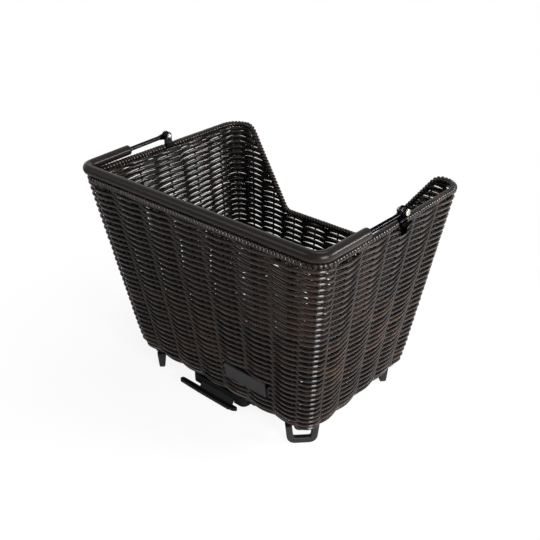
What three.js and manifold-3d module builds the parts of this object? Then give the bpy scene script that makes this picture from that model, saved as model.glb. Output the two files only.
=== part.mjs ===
// Bicycle basket for a rear carrier: a welded wire frame woven with round strand, a wrapped rim with a
// saddle cut-out in the back wall, a swinging bail handle, four loop feet and a quick-release adapter.
// Millimetres, +Z up, +X along the long front wall, +Y towards the cut-out wall.
// The origin lies on the ground under the middle of the basket.
import * as THREE from 'three';
import { mergeVertices } from 'three/addons/utils/BufferGeometryUtils.js';
import Module from 'manifold-3d';

const wasm = await Module();
wasm.setup();

// Basket body, measured on the middle surface of the woven wall
const rimLength = 400;
const rimWidth = 296;
const rimHeight = 306;
const baseLength = 322;
const baseWidth = 224;
const floorHeight = 35;
const cornerRadius = 25;
const bottomTurnRadius = 14;

// Saddle cut-out in the back wall, on the centre line of the rim rod
const notchFloorHeight = 191;
const notchFloorHalf = 80;
const notchShoulder = 34.5;
const notchFillet = 16;

// Strand, wires and their spacing
const strandDiameter = 4.3;
const strandPitch = 4.2;
const rowsPerCourse = 2;
const stakeDiameter = 3;
const rimRodDiameter = 5;
const bindingThickness = 2;
const baseRingDiameter = 4;
const frontStakes = 7;
const backStakes = 8;
const sideStakes = 5;
const cornerStakeGap = 38;
const frontStakeShift = -4;
const rightStakeShift = 10;
const floorWires = 8;
const floorWireMargin = 30.2;

// Clearances
const seam = 0.3;
const runningGap = 0.3;
const channelGap = 0.4;
const channelWall = 0.7;

// Bail handle
const pivotRise = 14.2;
const pivotSetback = 5.5;
const pivotOut = 5.2;
const bailReach = 152.5;
const bailFrontInset = 1;
const bailRodDiameter = 6;
const bailBendRadius = 17;
const bailBendStep = 22.5;
const gripDiameter = 14;
const gripEnd = -66;
const eyeRadius = 7;
const eyeThickness = 3;
const boltDiameter = 5;
const boltHeadThickness = 3.5;
const boltHeadAcross = 9;
const nutLength = 4;
const nutDomeLength = 3.6;
const washerRadius = 5;
const washerThickness = 1.6;
const bracketThickness = 2.5;
const bracketWrap = 1.6;
const bracketWidth = 13;
const bracketTailDrop = 15;

// Feet
const footInsetAlong = 24.5;
const footInsetAcross = 19;
const footTopWidth = 45;
const footBottomWidth = 39;
const footBar = 9;
const footTopThickness = 11;
const footBottomThickness = 7.5;
const footScrewInset = 21;
const footScrewDiameter = 5;

// Badge plate in the front wall
const badgeStake = 5;
const badgeShift = -1.9056993;
const badgeHeight = 82.3;
const badgeLength = 71;
const badgeWidth = 24;
const badgeThickness = 3;
const badgeBackingThickness = 1.5;
const badgeRivetInset = 6.6539465;
const badgeRivetDiameter = 3;

// Carrier adapter under the floor
const adapterCentre = -5;
const adapterFront = -107;
const adapterLength = 150;
const adapterWidth = 102;
const adapterPlate = 6.5;
const adapterSkirt = 3;
const adapterDepth = 14;
const railDrop = 8.9;
const railLip = 6;
const railThickness = 3;
const railLength = 116;
const adapterBoltSpacing = 76;
const adapterBoltFront = -85;
const adapterBoltBack = 25;
const clampPlateThickness = 2;

// Release handle, its slider, spring and cover
const stemWidth = 62;
const stemLength = 40;
const sliderWidth = 44;
const sliderThickness = 4;
const sliderEnd = -8;
const handleBarCentre = -18;
const handleBarLength = 109;
const handleBarDepth = 8;
const handleBarHeight = 5;
const handleBarDrop = 14.4;
const handleReach = 3.5;
const releaseTravel = 8;
const toothWidth = 30;
const toothDepth = 6;
const toothDrop = 9;
const springOuter = 3.7;
const springWire = 0.7;
const springLength = 24;
const springTurns = 8;
const coverThickness = 2.4;
const coverLength = 95;
const coverScrewDiameter = 3;

// Sizes that follow from the ones above
const floorWireSpacing = (baseLength - 2 * floorWireMargin) / (floorWires - 1);
const pivotHeight = rimHeight + pivotRise;
const pivotHalf = rimLength / 2 + pivotOut;
const bailFrontHalf = rimLength / 2 - bailFrontInset;
const footAlong = baseLength / 2 - footInsetAlong;
const footAcross = baseWidth / 2 - footInsetAcross;
const notchMouthHalf = rimLength / 2 - notchShoulder;
const strandRadius = strandDiameter / 2;
const stakeRadius = stakeDiameter / 2;
const weaveBulge = stakeRadius + strandRadius;
const weaveHalf = weaveBulge + strandRadius;
const channelCover = stakeRadius + channelGap + channelWall;
const cornerShare = 0.25;
const rimRodRadius = rimRodDiameter / 2;
const bindingRadius = rimRodRadius + bindingThickness;
const gripRadius = gripDiameter / 2;
const bailRodRadius = bailRodDiameter / 2;
const boltRadius = boltDiameter / 2;
const floorTop = floorHeight + weaveHalf;
const floorBottom = floorHeight - weaveHalf;
const stakeTotal = frontStakes + backStakes + 2 * sideStakes + 4;

// Finishes
const finish = {
  strand: { color: 0x2b2220, roughness: 0.42, metalness: 0.0 },
  wire: { color: 0x17161a, roughness: 0.45, metalness: 0.6 },
  blackPlastic: { color: 0x1c1b1d, roughness: 0.5, metalness: 0.0 },
  grip: { color: 0x2e2a2a, roughness: 0.62, metalness: 0.0 },
  blackSteel: { color: 0x141416, roughness: 0.3, metalness: 0.7 },
  brightSteel: { color: 0xc9c7c2, roughness: 0.28, metalness: 1.0 },
  badge: { color: 0x4c494b, roughness: 0.48, metalness: 0.0 },
};

const basket = new THREE.Group();

// Adds a closed geometry to the basket as one named piece
function addPiece(name, geometry, look) {
  const mesh = new THREE.Mesh(geometry, new THREE.MeshStandardMaterial(look));
  mesh.name = name;
  basket.add(mesh);
  return mesh;
}

// Turns a closed geometry into a solid for cutting and joining
function solid(geometry) {
  const plain = geometry.clone();
  plain.deleteAttribute('normal');
  plain.deleteAttribute('uv');
  const merged = mergeVertices(plain, 1e-4);
  return new wasm.Manifold(new wasm.Mesh({
    numProp: 3,
    vertProperties: new Float32Array(merged.attributes.position.array),
    triVerts: new Uint32Array(merged.index.array),
  }));
}

// Turns a solid back into a geometry, without the slivers that a cut can leave
const sliver = 0.004;
function geometryOf(body) {
  const mesh = body.simplify(sliver).getMesh();
  const geometry = new THREE.BufferGeometry();
  const count = mesh.vertProperties.length / mesh.numProp;
  const positions = new Float32Array(count * 3);
  for (let i = 0; i < count; i += 1) {
    positions.set(mesh.vertProperties.subarray(i * mesh.numProp, i * mesh.numProp + 3), i * 3);
  }
  geometry.setAttribute('position', new THREE.BufferAttribute(positions, 3));
  geometry.setIndex(new THREE.BufferAttribute(new Uint32Array(mesh.triVerts), 1));
  geometry.computeVertexNormals();
  return geometry;
}

// Joins a list of solids into one
function joined(solids) {
  return solids.reduce((sum, body) => sum.add(body));
}

// Box between two corners
function boxBetween(low, high) {
  const size = new THREE.Vector3().subVectors(high, low);
  const geometry = new THREE.BoxGeometry(size.x, size.y, size.z);
  geometry.translate((low.x + high.x) / 2, (low.y + high.y) / 2, (low.z + high.z) / 2);
  return geometry;
}

// Round bar along X, Y or Z, from one value to another
function bar(axis, from, to, radius, centre, sides = 16) {
  const geometry = new THREE.CylinderGeometry(radius, radius, to - from, sides);
  const middle = (from + to) / 2;
  if (axis === 'x') {
    geometry.rotateZ(-Math.PI / 2);
    geometry.translate(middle, centre[0], centre[1]);
  }
  if (axis === 'y') {
    geometry.translate(centre[0], middle, centre[1]);
  }
  if (axis === 'z') {
    geometry.rotateX(Math.PI / 2);
    geometry.translate(centre[0], centre[1], middle);
  }
  return geometry;
}

// Flat shape pushed up along Z from one height to another
function slab(shape, from, to, segments = 6) {
  const geometry = new THREE.ExtrudeGeometry(shape, {
    depth: to - from, bevelEnabled: false, curveSegments: segments,
  });
  geometry.translate(0, 0, from);
  return geometry;
}

// Shape given in (y, z) pushed along +X from one value to another
function alongX(shape, from, to, segments = 6) {
  const geometry = new THREE.ExtrudeGeometry(shape, {
    depth: to - from, bevelEnabled: false, curveSegments: segments,
  });
  const turn = new THREE.Matrix4().makeBasis(
    new THREE.Vector3(0, 1, 0), new THREE.Vector3(0, 0, 1), new THREE.Vector3(1, 0, 0));
  geometry.applyMatrix4(turn);
  geometry.translate(from, 0, 0);
  return geometry;
}

// Shape given in (x, z) pushed along Y from one value to another
function alongY(shape, from, to, segments = 6) {
  const geometry = new THREE.ExtrudeGeometry(shape, {
    depth: to - from, bevelEnabled: false, curveSegments: segments,
  });
  const turn = new THREE.Matrix4().makeBasis(
    new THREE.Vector3(1, 0, 0), new THREE.Vector3(0, 0, 1), new THREE.Vector3(0, -1, 0));
  geometry.applyMatrix4(turn);
  geometry.translate(0, to, 0);
  return geometry;
}

// Rectangle with rounded corners, centred on a point
function roundedRectangle(cx, cy, width, height, radius) {
  const x0 = cx - width / 2;
  const x1 = cx + width / 2;
  const y0 = cy - height / 2;
  const y1 = cy + height / 2;
  const shape = new THREE.Shape();
  shape.moveTo(x0 + radius, y0);
  shape.lineTo(x1 - radius, y0);
  shape.absarc(x1 - radius, y0 + radius, radius, -Math.PI / 2, 0);
  shape.lineTo(x1, y1 - radius);
  shape.absarc(x1 - radius, y1 - radius, radius, 0, Math.PI / 2);
  shape.lineTo(x0 + radius, y1);
  shape.absarc(x0 + radius, y1 - radius, radius, Math.PI / 2, Math.PI);
  shape.lineTo(x0, y0 + radius);
  shape.absarc(x0 + radius, y0 + radius, radius, Math.PI, 1.5 * Math.PI);
  return shape;
}

// Closed outline through given points
function outlineThrough(points) {
  return new THREE.Shape(points.map(([x, y]) => new THREE.Vector2(x, y)));
}

// Points of a bent line: each inner corner becomes an arc of its own radius, with a point every few degrees
function bentLine(corners, closed = false, degreesPerStep = 30) {
  const points = [];
  const count = corners.length;
  corners.forEach((corner, i) => {
    const inner = closed || (i > 0 && i < count - 1);
    if (!inner || !corner.radius) {
      points.push(corner.at.clone());
      return;
    }
    const before = corners[(i + count - 1) % count].at;
    const after = corners[(i + 1) % count].at;
    const back = new THREE.Vector3().subVectors(before, corner.at).normalize();
    const ahead = new THREE.Vector3().subVectors(after, corner.at).normalize();
    const turn = Math.PI - back.angleTo(ahead);
    const reach = corner.radius * Math.tan(turn / 2);
    const bisector = new THREE.Vector3().addVectors(back, ahead).normalize();
    const centre = corner.at.clone().addScaledVector(bisector, corner.radius / Math.cos(turn / 2));
    const start = corner.at.clone().addScaledVector(back, reach).sub(centre);
    const axis = new THREE.Vector3().crossVectors(back, ahead).normalize().negate();
    const steps = Math.max(2, Math.ceil(THREE.MathUtils.radToDeg(turn) / degreesPerStep));
    for (let k = 0; k <= steps; k += 1) {
      points.push(start.clone().applyAxisAngle(axis, (turn * k) / steps).add(centre));
    }
  });
  return points;
}

// Tube along points, closed at both ends or round on itself. Each ring stands square to the line, its first
// direction beside the line as seen along the reference, and may be wider or taller at some points.
function tube(points, radius, { sides = 8, reference = new THREE.Vector3(0, 0, 1), loop = false,
  sizes = null } = {}) {
  const count = points.length;
  const positions = [];
  const indices = [];
  points.forEach((point, i) => {
    const before = points[loop ? (i + count - 1) % count : Math.max(i - 1, 0)];
    const after = points[loop ? (i + 1) % count : Math.min(i + 1, count - 1)];
    const tangent = new THREE.Vector3().subVectors(after, before).normalize();
    const side = new THREE.Vector3().crossVectors(tangent, reference).normalize();
    const lift = new THREE.Vector3().crossVectors(side, tangent).normalize();
    const [wide, tall] = sizes ? sizes[i] : [radius, radius];
    for (let k = 0; k < sides; k += 1) {
      const angle = (2 * Math.PI * (k + 0.5)) / sides;
      const spot = point.clone().addScaledVector(side, wide * Math.cos(angle))
        .addScaledVector(lift, tall * Math.sin(angle));
      positions.push(spot.x, spot.y, spot.z);
    }
  });
  const spans = loop ? count : count - 1;
  for (let i = 0; i < spans; i += 1) {
    const here = i * sides;
    const next = ((i + 1) % count) * sides;
    for (let k = 0; k < sides; k += 1) {
      const m = (k + 1) % sides;
      indices.push(here + k, next + k, here + m, here + m, next + k, next + m);
    }
  }
  if (!loop) {
    const last = (count - 1) * sides;
    for (let k = 1; k < sides - 1; k += 1) {
      indices.push(0, k, k + 1, last, last + k + 1, last + k);
    }
  }
  return closedSurface(positions, indices);
}

// Geometry from positions and triangles, turned right side out
function closedSurface(positions, indices) {
  let volume = 0;
  const a = new THREE.Vector3();
  const b = new THREE.Vector3();
  const c = new THREE.Vector3();
  for (let i = 0; i < indices.length; i += 3) {
    a.fromArray(positions, indices[i] * 3);
    b.fromArray(positions, indices[i + 1] * 3);
    c.fromArray(positions, indices[i + 2] * 3);
    volume += a.dot(b.cross(c));
  }
  if (volume < 0) {
    for (let i = 0; i < indices.length; i += 3) {
      [indices[i + 1], indices[i + 2]] = [indices[i + 2], indices[i + 1]];
    }
  }
  const geometry = new THREE.BufferGeometry();
  geometry.setAttribute('position', new THREE.BufferAttribute(new Float32Array(positions), 3));
  geometry.setIndex(indices);
  return geometry;
}

// Round tube with a bore that runs out past both ends, along points
function sleeve(points, outer, inner, options) {
  const beyond = (end, next) => new THREE.Vector3().subVectors(end, next).setLength(outer).add(end);
  const last = points.length - 1;
  const bore = [beyond(points[0], points[1]), ...points, beyond(points[last], points[last - 1])];
  return solid(tube(points, outer, options)).subtract(solid(tube(bore, inner, options)));
}

// Half lengths and corner radius of the wall's middle surface at a height, drawn in by an inset
function wallPlan(height, inset) {
  const share = (height - floorHeight) / (rimHeight - floorHeight);
  return {
    halfX: (baseLength + (rimLength - baseLength) * share) / 2 - inset,
    halfY: (baseWidth + (rimWidth - baseWidth) * share) / 2 - inset,
    radius: Math.max(cornerRadius - inset, 4),
  };
}

// Places of a wall's stakes as shares of its half length, given at the rim, all shifted along the wall alike
function stakeShares(count, wallLength, shift = 0) {
  const spacing = (wallLength - 2 * cornerStakeGap) / (count - 1);
  const place = (i) => (i - (count - 1) / 2) * spacing + shift;
  return Array.from({ length: count }, (_, i) => place(i) / (wallLength / 2));
}

// Distances along the rounded outline at which the stakes stand, from the front left corner's middle
// round by the front, right, back and left walls
function stakeDistances(plan) {
  const halfArc = (Math.PI * plan.radius) / 4;
  const walls = [
    { shares: stakeShares(frontStakes, rimLength, frontStakeShift), half: plan.halfX },
    { shares: stakeShares(sideStakes, rimWidth, rightStakeShift), half: plan.halfY },
    { shares: stakeShares(backStakes, rimLength), half: plan.halfX },
    { shares: stakeShares(sideStakes, rimWidth), half: plan.halfY },
  ];
  const distances = [];
  let start = 0;
  walls.forEach((wall) => {
    const straight = wall.half - plan.radius;
    distances.push(start);
    wall.shares.forEach((share) => distances.push(start + halfArc + straight + share * wall.half));
    start += 2 * (halfArc + straight);
  });
  distances.push(start);
  return distances;
}

// Point and outward direction on the rounded outline at a distance along it
function outlinePoint(plan, distance) {
  const halfArc = (Math.PI * plan.radius) / 4;
  const half = [plan.halfX, plan.halfY, plan.halfX, plan.halfY];
  const across = [plan.halfY, plan.halfX, plan.halfY, plan.halfX];
  let left = distance;
  let wall = 0;
  while (wall < 3 && left > 2 * (halfArc + half[wall] - plan.radius)) {
    left -= 2 * (halfArc + half[wall] - plan.radius);
    wall += 1;
  }
  const straight = half[wall] - plan.radius;
  const run = left - halfArc;
  let along = run - straight;
  let out = across[wall];
  let lean = 0;
  if (run < 0) {
    lean = run / plan.radius;
    along = -straight + plan.radius * Math.sin(lean);
    out = across[wall] - plan.radius + plan.radius * Math.cos(lean);
  }
  if (run > 2 * straight) {
    lean = (run - 2 * straight) / plan.radius;
    along = straight + plan.radius * Math.sin(lean);
    out = across[wall] - plan.radius + plan.radius * Math.cos(lean);
  }
  const quarter = (wall * Math.PI) / 2;
  const spot = new THREE.Vector2(along, -out).rotateAround(new THREE.Vector2(), quarter);
  const facing = new THREE.Vector2(Math.sin(lean), -Math.cos(lean))
    .rotateAround(new THREE.Vector2(), quarter);
  return { x: spot.x, y: spot.y, nx: facing.x, ny: facing.y };
}

// Point of the wall's middle surface at stake number u, which may lie between two stakes
function wallPoint(u, height, inset) {
  const plan = wallPlan(height, inset);
  const distances = stakeDistances(plan);
  const whole = Math.min(Math.floor(u), stakeTotal - 1);
  const share = u - whole;
  return outlinePoint(plan, distances[whole] * (1 - share) + distances[whole + 1] * share);
}

// Levels of the wall from the inner end of its turned-under edge to a top height
const turnAngles = [75, 38, 0].map(THREE.MathUtils.degToRad);
function wallLevels(top) {
  const levels = turnAngles.map((angle) => ({
    inset: bottomTurnRadius * (1 - Math.cos(angle)),
    height: floorHeight + bottomTurnRadius * (1 - Math.sin(angle)),
    angle,
  }));
  levels.push({ inset: 0, height: top, angle: 0 });
  return levels;
}

// Point at a distance outside the wall's middle surface
function wallOffset(u, level, distance) {
  const spot = wallPoint(u, level.height, level.inset);
  const level2 = Math.cos(level.angle) * distance;
  return new THREE.Vector3(spot.x + spot.nx * level2, spot.y + spot.ny * level2,
    level.height - Math.sin(level.angle) * distance);
}

// Half thickness of the weave: two strands and a wire at each stake, one strand midway between stakes
function weaveThickness(u) {
  return strandRadius + weaveBulge * Math.abs(Math.cos(Math.PI * u));
}

// Centre line of the rim rod along the cut-out, as (x, z) points of the back wall from right to left
function notchLine(extra = 0) {
  const point = (x, z, radius) => ({ at: new THREE.Vector3(x, 0, z), radius });
  const line = bentLine([
    point(rimLength / 2 + extra, rimHeight, 0),
    point(notchMouthHalf, rimHeight, notchFillet),
    point(notchFloorHalf, notchFloorHeight, notchFillet),
    point(-notchFloorHalf, notchFloorHeight, notchFillet),
    point(-notchMouthHalf, rimHeight, notchFillet),
    point(-rimLength / 2 - extra, rimHeight, 0),
  ]);
  return line.map((spot) => [spot.x, spot.z]);
}

// Rim height over a place along the back wall
function rimHeightAt(x) {
  const line = notchLine(cornerRadius);
  for (let i = 1; i < line.length; i += 1) {
    const [x0, z0] = line[i - 1];
    const [x1, z1] = line[i];
    if (x <= x0 && x >= x1 && x0 > x1) {
      return z0 + ((z1 - z0) * (x0 - x)) / (x0 - x1);
    }
  }
  return rimHeight;
}

// Height at which a stake meets the rim rod
function stakeTop(k) {
  const firstBack = 2 + frontStakes + sideStakes;
  if (k <= firstBack || k > firstBack + backStakes) {
    return rimHeight;
  }
  let low = floorHeight;
  let high = rimHeight;
  for (let step = 0; step < 30; step += 1) {
    const middle = (low + high) / 2;
    if (middle < rimHeightAt(wallPoint(k, middle, 0).x)) {
      low = middle;
    } else {
      high = middle;
    }
  }
  return low;
}

// Points of a stake from the rim rod down the wall and under the bottom turn to the base ring
function stakeLine(k) {
  const levels = wallLevels(stakeTop(k)).reverse();
  const points = levels.map((level) => wallOffset(k, level, 0));
  points.push(wallOffset(k, { inset: bottomTurnRadius, height: floorHeight, angle: 0 }, 0));
  return points;
}

// Rod that stands for a stake, or the channel round it when a clearance is given
function stakeRod(k, clearance = 0, points = stakeLine(k)) {
  const facing = wallPoint(k, rimHeight, 0);
  const reference = new THREE.Vector3(-facing.ny, facing.nx, 0);
  const sides = 4;
  const radius = clearance ? (stakeRadius + clearance) / Math.cos(Math.PI / sides) : stakeRadius;
  return tube(points, radius, { sides, reference });
}

// Centre line of the rim rod, open, round the front or the back between two points beside the pivots
function rimLine(gapFront, gapBack, side) {
  const halfX = rimLength / 2;
  const halfY = rimWidth / 2;
  const wallAt = (height) => wallPlan(height, 0).halfY;
  const corner = (x, y, z, radius) => ({ at: new THREE.Vector3(x, y, z), radius });
  if (side === 'front') {
    return [
      corner(halfX, gapFront, rimHeight, 0),
      corner(halfX, -halfY, rimHeight, cornerRadius),
      corner(-halfX, -halfY, rimHeight, cornerRadius),
      corner(-halfX, gapFront, rimHeight, 0),
    ];
  }
  return [
    corner(halfX, gapBack, rimHeight, 0),
    corner(halfX, halfY, rimHeight, cornerRadius),
    corner(notchMouthHalf, halfY, rimHeight, notchFillet),
    corner(notchFloorHalf, wallAt(notchFloorHeight), notchFloorHeight, notchFillet),
    corner(-notchFloorHalf, wallAt(notchFloorHeight), notchFloorHeight, notchFillet),
    corner(-notchMouthHalf, halfY, rimHeight, notchFillet),
    corner(-halfX, halfY, rimHeight, cornerRadius),
    corner(-halfX, gapBack, rimHeight, 0),
  ];
}

// Welded wire frame: rim rod, stakes, base ring and floor wires
const floorWirePlaces = Array.from({ length: floorWires },
  (_, i) => (i - (floorWires - 1) / 2) * floorWireSpacing);
function wireFrame() {
  const rimPoints = bentLine([
    ...rimLine(0, 0, 'front').slice(1, 3),
    ...rimLine(0, 0, 'back').slice(1, 7).reverse(),
  ], true);
  const ringPlan = wallPlan(floorHeight, bottomTurnRadius);
  const ringCorner = (x, y) => ({ at: new THREE.Vector3(x, y, floorHeight), radius: ringPlan.radius });
  const ringPoints = bentLine([
    ringCorner(ringPlan.halfX, ringPlan.halfY), ringCorner(-ringPlan.halfX, ringPlan.halfY),
    ringCorner(-ringPlan.halfX, -ringPlan.halfY), ringCorner(ringPlan.halfX, -ringPlan.halfY),
  ], true);
  const rods = [
    solid(tube(rimPoints, rimRodRadius, { loop: true })),
    solid(tube(ringPoints, baseRingDiameter / 2, { loop: true, sides: 6 })),
  ];
  for (let k = 0; k < stakeTotal; k += 1) {
    rods.push(solid(stakeRod(k)));
  }
  floorWirePlaces.forEach((x) => {
    rods.push(solid(bar('y', -ringPlan.halfY, ringPlan.halfY, stakeRadius, [x, floorHeight], 5)));
  });
  return joined(rods);
}

// Every stake's channel, for cutting the wall, and its upper end alone, for cutting what wraps the rim rod
const stakeChannels = joined(Array.from({ length: stakeTotal }, (_, k) => solid(stakeRod(k, channelGap))));
const stakeEndChannels = joined(Array.from({ length: stakeTotal }, (_, k) => {
  const [top, next] = stakeLine(k);
  const low = next.sub(top).setLength(4 * bindingRadius).add(top);
  return solid(stakeRod(k, channelGap, [top, low]));
}));

// Prism that clears the saddle cut-out, down to a distance under the rim rod's centre line
function notchPrism(distance) {
  const line = notchLine(cornerRadius * 2);
  const lowered = line.map(([x, z], i) => {
    const [x0, z0] = line[Math.max(i - 1, 0)];
    const [x1, z1] = line[Math.min(i + 1, line.length - 1)];
    const length = Math.hypot(x1 - x0, z1 - z0);
    return [x + ((z0 - z1) / length) * distance, z + ((x1 - x0) / length) * distance];
  });
  const top = rimHeight + rimWidth;
  const outline = outlineThrough([...lowered, [lowered[lowered.length - 1][0], top], [lowered[0][0], top]]);
  return alongY(outline, rimWidth / 4, rimWidth);
}

// Window in the front weave for the badge plate, leaning with the wall. The plate is placed from the middle
// between two front stakes, and its rivets keep inside them.
const badgeLean = Math.atan((rimWidth - baseWidth) / 2 / (rimHeight - floorHeight));
const badgePlan = wallPlan(badgeHeight, 0);
const besideBadge = stakeShares(frontStakes, rimLength, frontStakeShift)
  .slice(badgeStake - 1, badgeStake + 1).map((share) => share * badgePlan.halfX);
const badgeCentre = (besideBadge[0] + besideBadge[1]) / 2 + badgeShift;
const badgeRivetSpacing = besideBadge[1] - besideBadge[0] - 2 * badgeRivetInset;
function onFrontWall(geometry) {
  return geometry.rotateX(badgeLean).translate(badgeCentre, -badgePlan.halfY, badgeHeight);
}
function badgeBlock(length, width, from, to, radius) {
  const shape = roundedRectangle(0, 0, length, width, radius);
  const geometry = new THREE.ExtrudeGeometry(shape, { depth: to - from, bevelEnabled: false, curveSegments: 3 });
  return onFrontWall(geometry.rotateX(Math.PI / 2).translate(0, -from, 0));
}
function badgeWindow(clearance) {
  return solid(badgeBlock(badgeLength + 2 * clearance, badgeWidth + 2 * clearance, -2 * weaveHalf,
    2 * weaveHalf, badgeThickness / 2));
}

// Places round the wall, in stakes: at every stake or part of the way, and close beside the corner stakes
const cornerStakes = [0, frontStakes + 1, frontStakes + sideStakes + 2, stakeTotal - sideStakes - 1];
function wallPlaces(step) {
  const places = Array.from({ length: stakeTotal / step }, (_, i) => i * step);
  cornerStakes.forEach((k) => places.push(k + cornerShare, (k + stakeTotal - cornerShare) % stakeTotal));
  return places.sort((a, b) => a - b);
}

// How far the outer face stands out in a course: over the strand where it passes in front of a stake, and
// just over the stake's channel where it passes behind
function courseReach(u, course) {
  const swing = Math.cos(Math.PI * (u + course));
  return strandRadius + (swing > 0 ? weaveBulge : channelCover - strandRadius) * Math.abs(swing);
}

// Woven wall: a shell with a fluted inner face. On its outer face the courses climb in one spiral, as the
// strand does, and each crosses in front of every other stake. A course stands for two rows of strand.
function wovenWall() {
  const positions = [];
  const indices = [];
  // Ring of spots at given places round the wall
  function addRing(places, spotAt) {
    const first = positions.length / 3;
    places.forEach((u) => positions.push(...spotAt(u).toArray()));
    return places.map((u, i) => ({ u, vertex: first + i }));
  }
  // Triangles between two rings, from their first places to their last, which they may share
  function stitch(ring, next) {
    let i = 0;
    let j = 0;
    while (i < ring.length - 1 || j < next.length - 1) {
      const along = j === next.length - 1 || (i < ring.length - 1 && ring[i + 1].u <= next[j + 1].u);
      const corners = [ring[i].vertex, (along ? ring[i + 1] : next[j + 1]).vertex, next[j].vertex];
      if (new Set(corners).size === 3) {
        indices.push(...corners);
      }
      i += along ? 1 : 0;
      j += along ? 0 : 1;
    }
  }
  const endingAt = (ring, spot) => [...ring, { u: stakeTotal, vertex: spot.vertex }];
  const levels = wallLevels(rimHeight - bindingRadius - seam);
  const outer = levels.map((level) => addRing(wallPlaces(1), (u) => wallOffset(u, level, weaveThickness(u))));
  const inner = levels.map((level) => addRing(wallPlaces(0.5), (u) => wallOffset(u, level, -weaveThickness(u))));
  const low = levels[levels.length - 2].height;
  const span = levels[levels.length - 1].height - low;
  const courses = Math.round(span / (rowsPerCourse * strandPitch)) - 1;
  const spiral = Array.from({ length: courses }, (_, course) => addRing(wallPlaces(1).slice(course ? 0 : 1),
    (u) => {
      const share = (course + 0.5 + u / stakeTotal) / (courses + 1);
      return wallOffset(u, { inset: 0, height: low + span * share, angle: 0 }, courseReach(u, course));
    }));
  // The spiral leaves the lowest level at its first place and meets the highest where its last turn ends
  const lowest = outer[outer.length - 2];
  const highest = outer[outer.length - 1];
  spiral[0].unshift(lowest[0]);
  const turns = spiral.map((ring, course) => endingAt(ring, (spiral[course + 1] ?? highest)[0]));
  const bands = [...outer.slice(0, -1).map((ring) => endingAt(ring, ring[0])), ...turns,
    endingAt(highest, highest[0])];
  const faces = [...bands, ...inner.reverse().map((ring) => endingAt(ring, ring[0]))];
  faces.forEach((ring, r) => stitch(ring, faces[(r + 1) % faces.length]));
  const wall = solid(closedSurface(positions, indices));
  const cut = notchPrism(bindingRadius + seam);
  return wall.subtract(stakeChannels).subtract(solid(cut)).subtract(badgeWindow(seam));
}

// Everything inside the wall's outer face, grown by a clearance, for trimming what meets the weave from outside
const wallStations = stakeTotal * 4;
function wallEnvelope(clearance) {
  const levels = [{ inset: bottomTurnRadius, height: floorHeight, angle: Math.PI / 2 },
    ...wallLevels(rimHeight / 2)];
  const positions = [];
  const indices = [];
  levels.forEach((level) => {
    for (let i = 0; i < wallStations; i += 1) {
      const u = (i * stakeTotal) / wallStations;
      positions.push(...wallOffset(u, level, weaveHalf + clearance).toArray());
    }
  });
  for (let r = 0; r < levels.length - 1; r += 1) {
    for (let i = 0; i < wallStations; i += 1) {
      const j = (i + 1) % wallStations;
      indices.push(r * wallStations + i, r * wallStations + j, (r + 1) * wallStations + i);
      indices.push(r * wallStations + j, (r + 1) * wallStations + j, (r + 1) * wallStations + i);
    }
  }
  const lowest = positions.length / 3;
  positions.push(0, 0, floorBottom - clearance, 0, 0, rimHeight / 2);
  const topRing = (levels.length - 1) * wallStations;
  for (let i = 0; i < wallStations; i += 1) {
    const j = (i + 1) % wallStations;
    indices.push(lowest, j, i, lowest + 1, topRing + i, topRing + j);
  }
  return solid(closedSurface(positions, indices));
}

// Woven floor: a slab fluted over its wires, inside the base ring, with holes for what is screwed through it
const boltHole = boltRadius + seam;
const screwSides = 8;
const adapterBoltPlaces = [adapterBoltFront, adapterBoltBack].flatMap((y) => (
  [-1, 1].map((side) => [adapterCentre + (side * adapterBoltSpacing) / 2, y])));
function footScrewPlace(sx, sy) {
  const step = footScrewInset / Math.SQRT2;
  return [sx * (footAlong - step), sy * (footAcross - step)];
}
const footCorners = [
  { name: 'front_left', sx: -1, sy: -1 }, { name: 'front_right', sx: 1, sy: -1 },
  { name: 'back_left', sx: -1, sy: 1 }, { name: 'back_right', sx: 1, sy: 1 },
];
const ringInner = bottomTurnRadius + baseRingDiameter / 2 + seam;
function wovenFloor() {
  const plan = wallPlan(floorHeight, ringInner);
  const reach = plan.halfX + strandDiameter;
  const quarters = Math.ceil((2 * reach) / (floorWireSpacing / 4));
  const upper = [];
  const lower = [];
  for (let i = 0; i <= quarters; i += 1) {
    const x = ((i - quarters / 2) * floorWireSpacing) / 4;
    const phase = (x - floorWirePlaces[0]) / floorWireSpacing;
    const half = strandRadius + weaveBulge * Math.abs(Math.cos(Math.PI * phase));
    upper.push([x, floorHeight + half]);
    lower.push([x, floorHeight - half]);
  }
  const fluted = alongY(outlineThrough([...lower, ...upper.reverse()]), -plan.halfY, plan.halfY);
  const trim = slab(roundedRectangle(0, 0, 2 * plan.halfX, 2 * plan.halfY, plan.radius),
    floorBottom - strandDiameter, floorTop + strandDiameter, 3);
  let floor = solid(fluted).intersect(solid(trim));
  floorWirePlaces.forEach((x) => {
    const radius = (stakeRadius + seam) / Math.cos(Math.PI / 6);
    floor = floor.subtract(solid(bar('y', -baseWidth, baseWidth, radius, [x, floorHeight], 6)));
  });
  adapterBoltPlaces.forEach((place) => {
    floor = floor.subtract(solid(bar('z', 0, rimHeight / 2, boltHole, place, screwSides)));
  });
  footCorners.forEach(({ sx, sy }) => {
    const hole = bar('z', 0, rimHeight / 2, footScrewDiameter / 2 + seam, footScrewPlace(sx, sy), screwSides);
    floor = floor.subtract(solid(hole));
  });
  return floor;
}

// Wrapped rim binding on the rim rod, in front of or behind the two pivot brackets
const bindingGap = bracketWidth / 2 + seam;
function rimBinding(side) {
  const line = bentLine(rimLine(pivotSetback - bindingGap, pivotSetback + bindingGap, side));
  return sleeve(line, bindingRadius, rimRodRadius + seam).subtract(stakeEndChannels);
}

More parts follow.
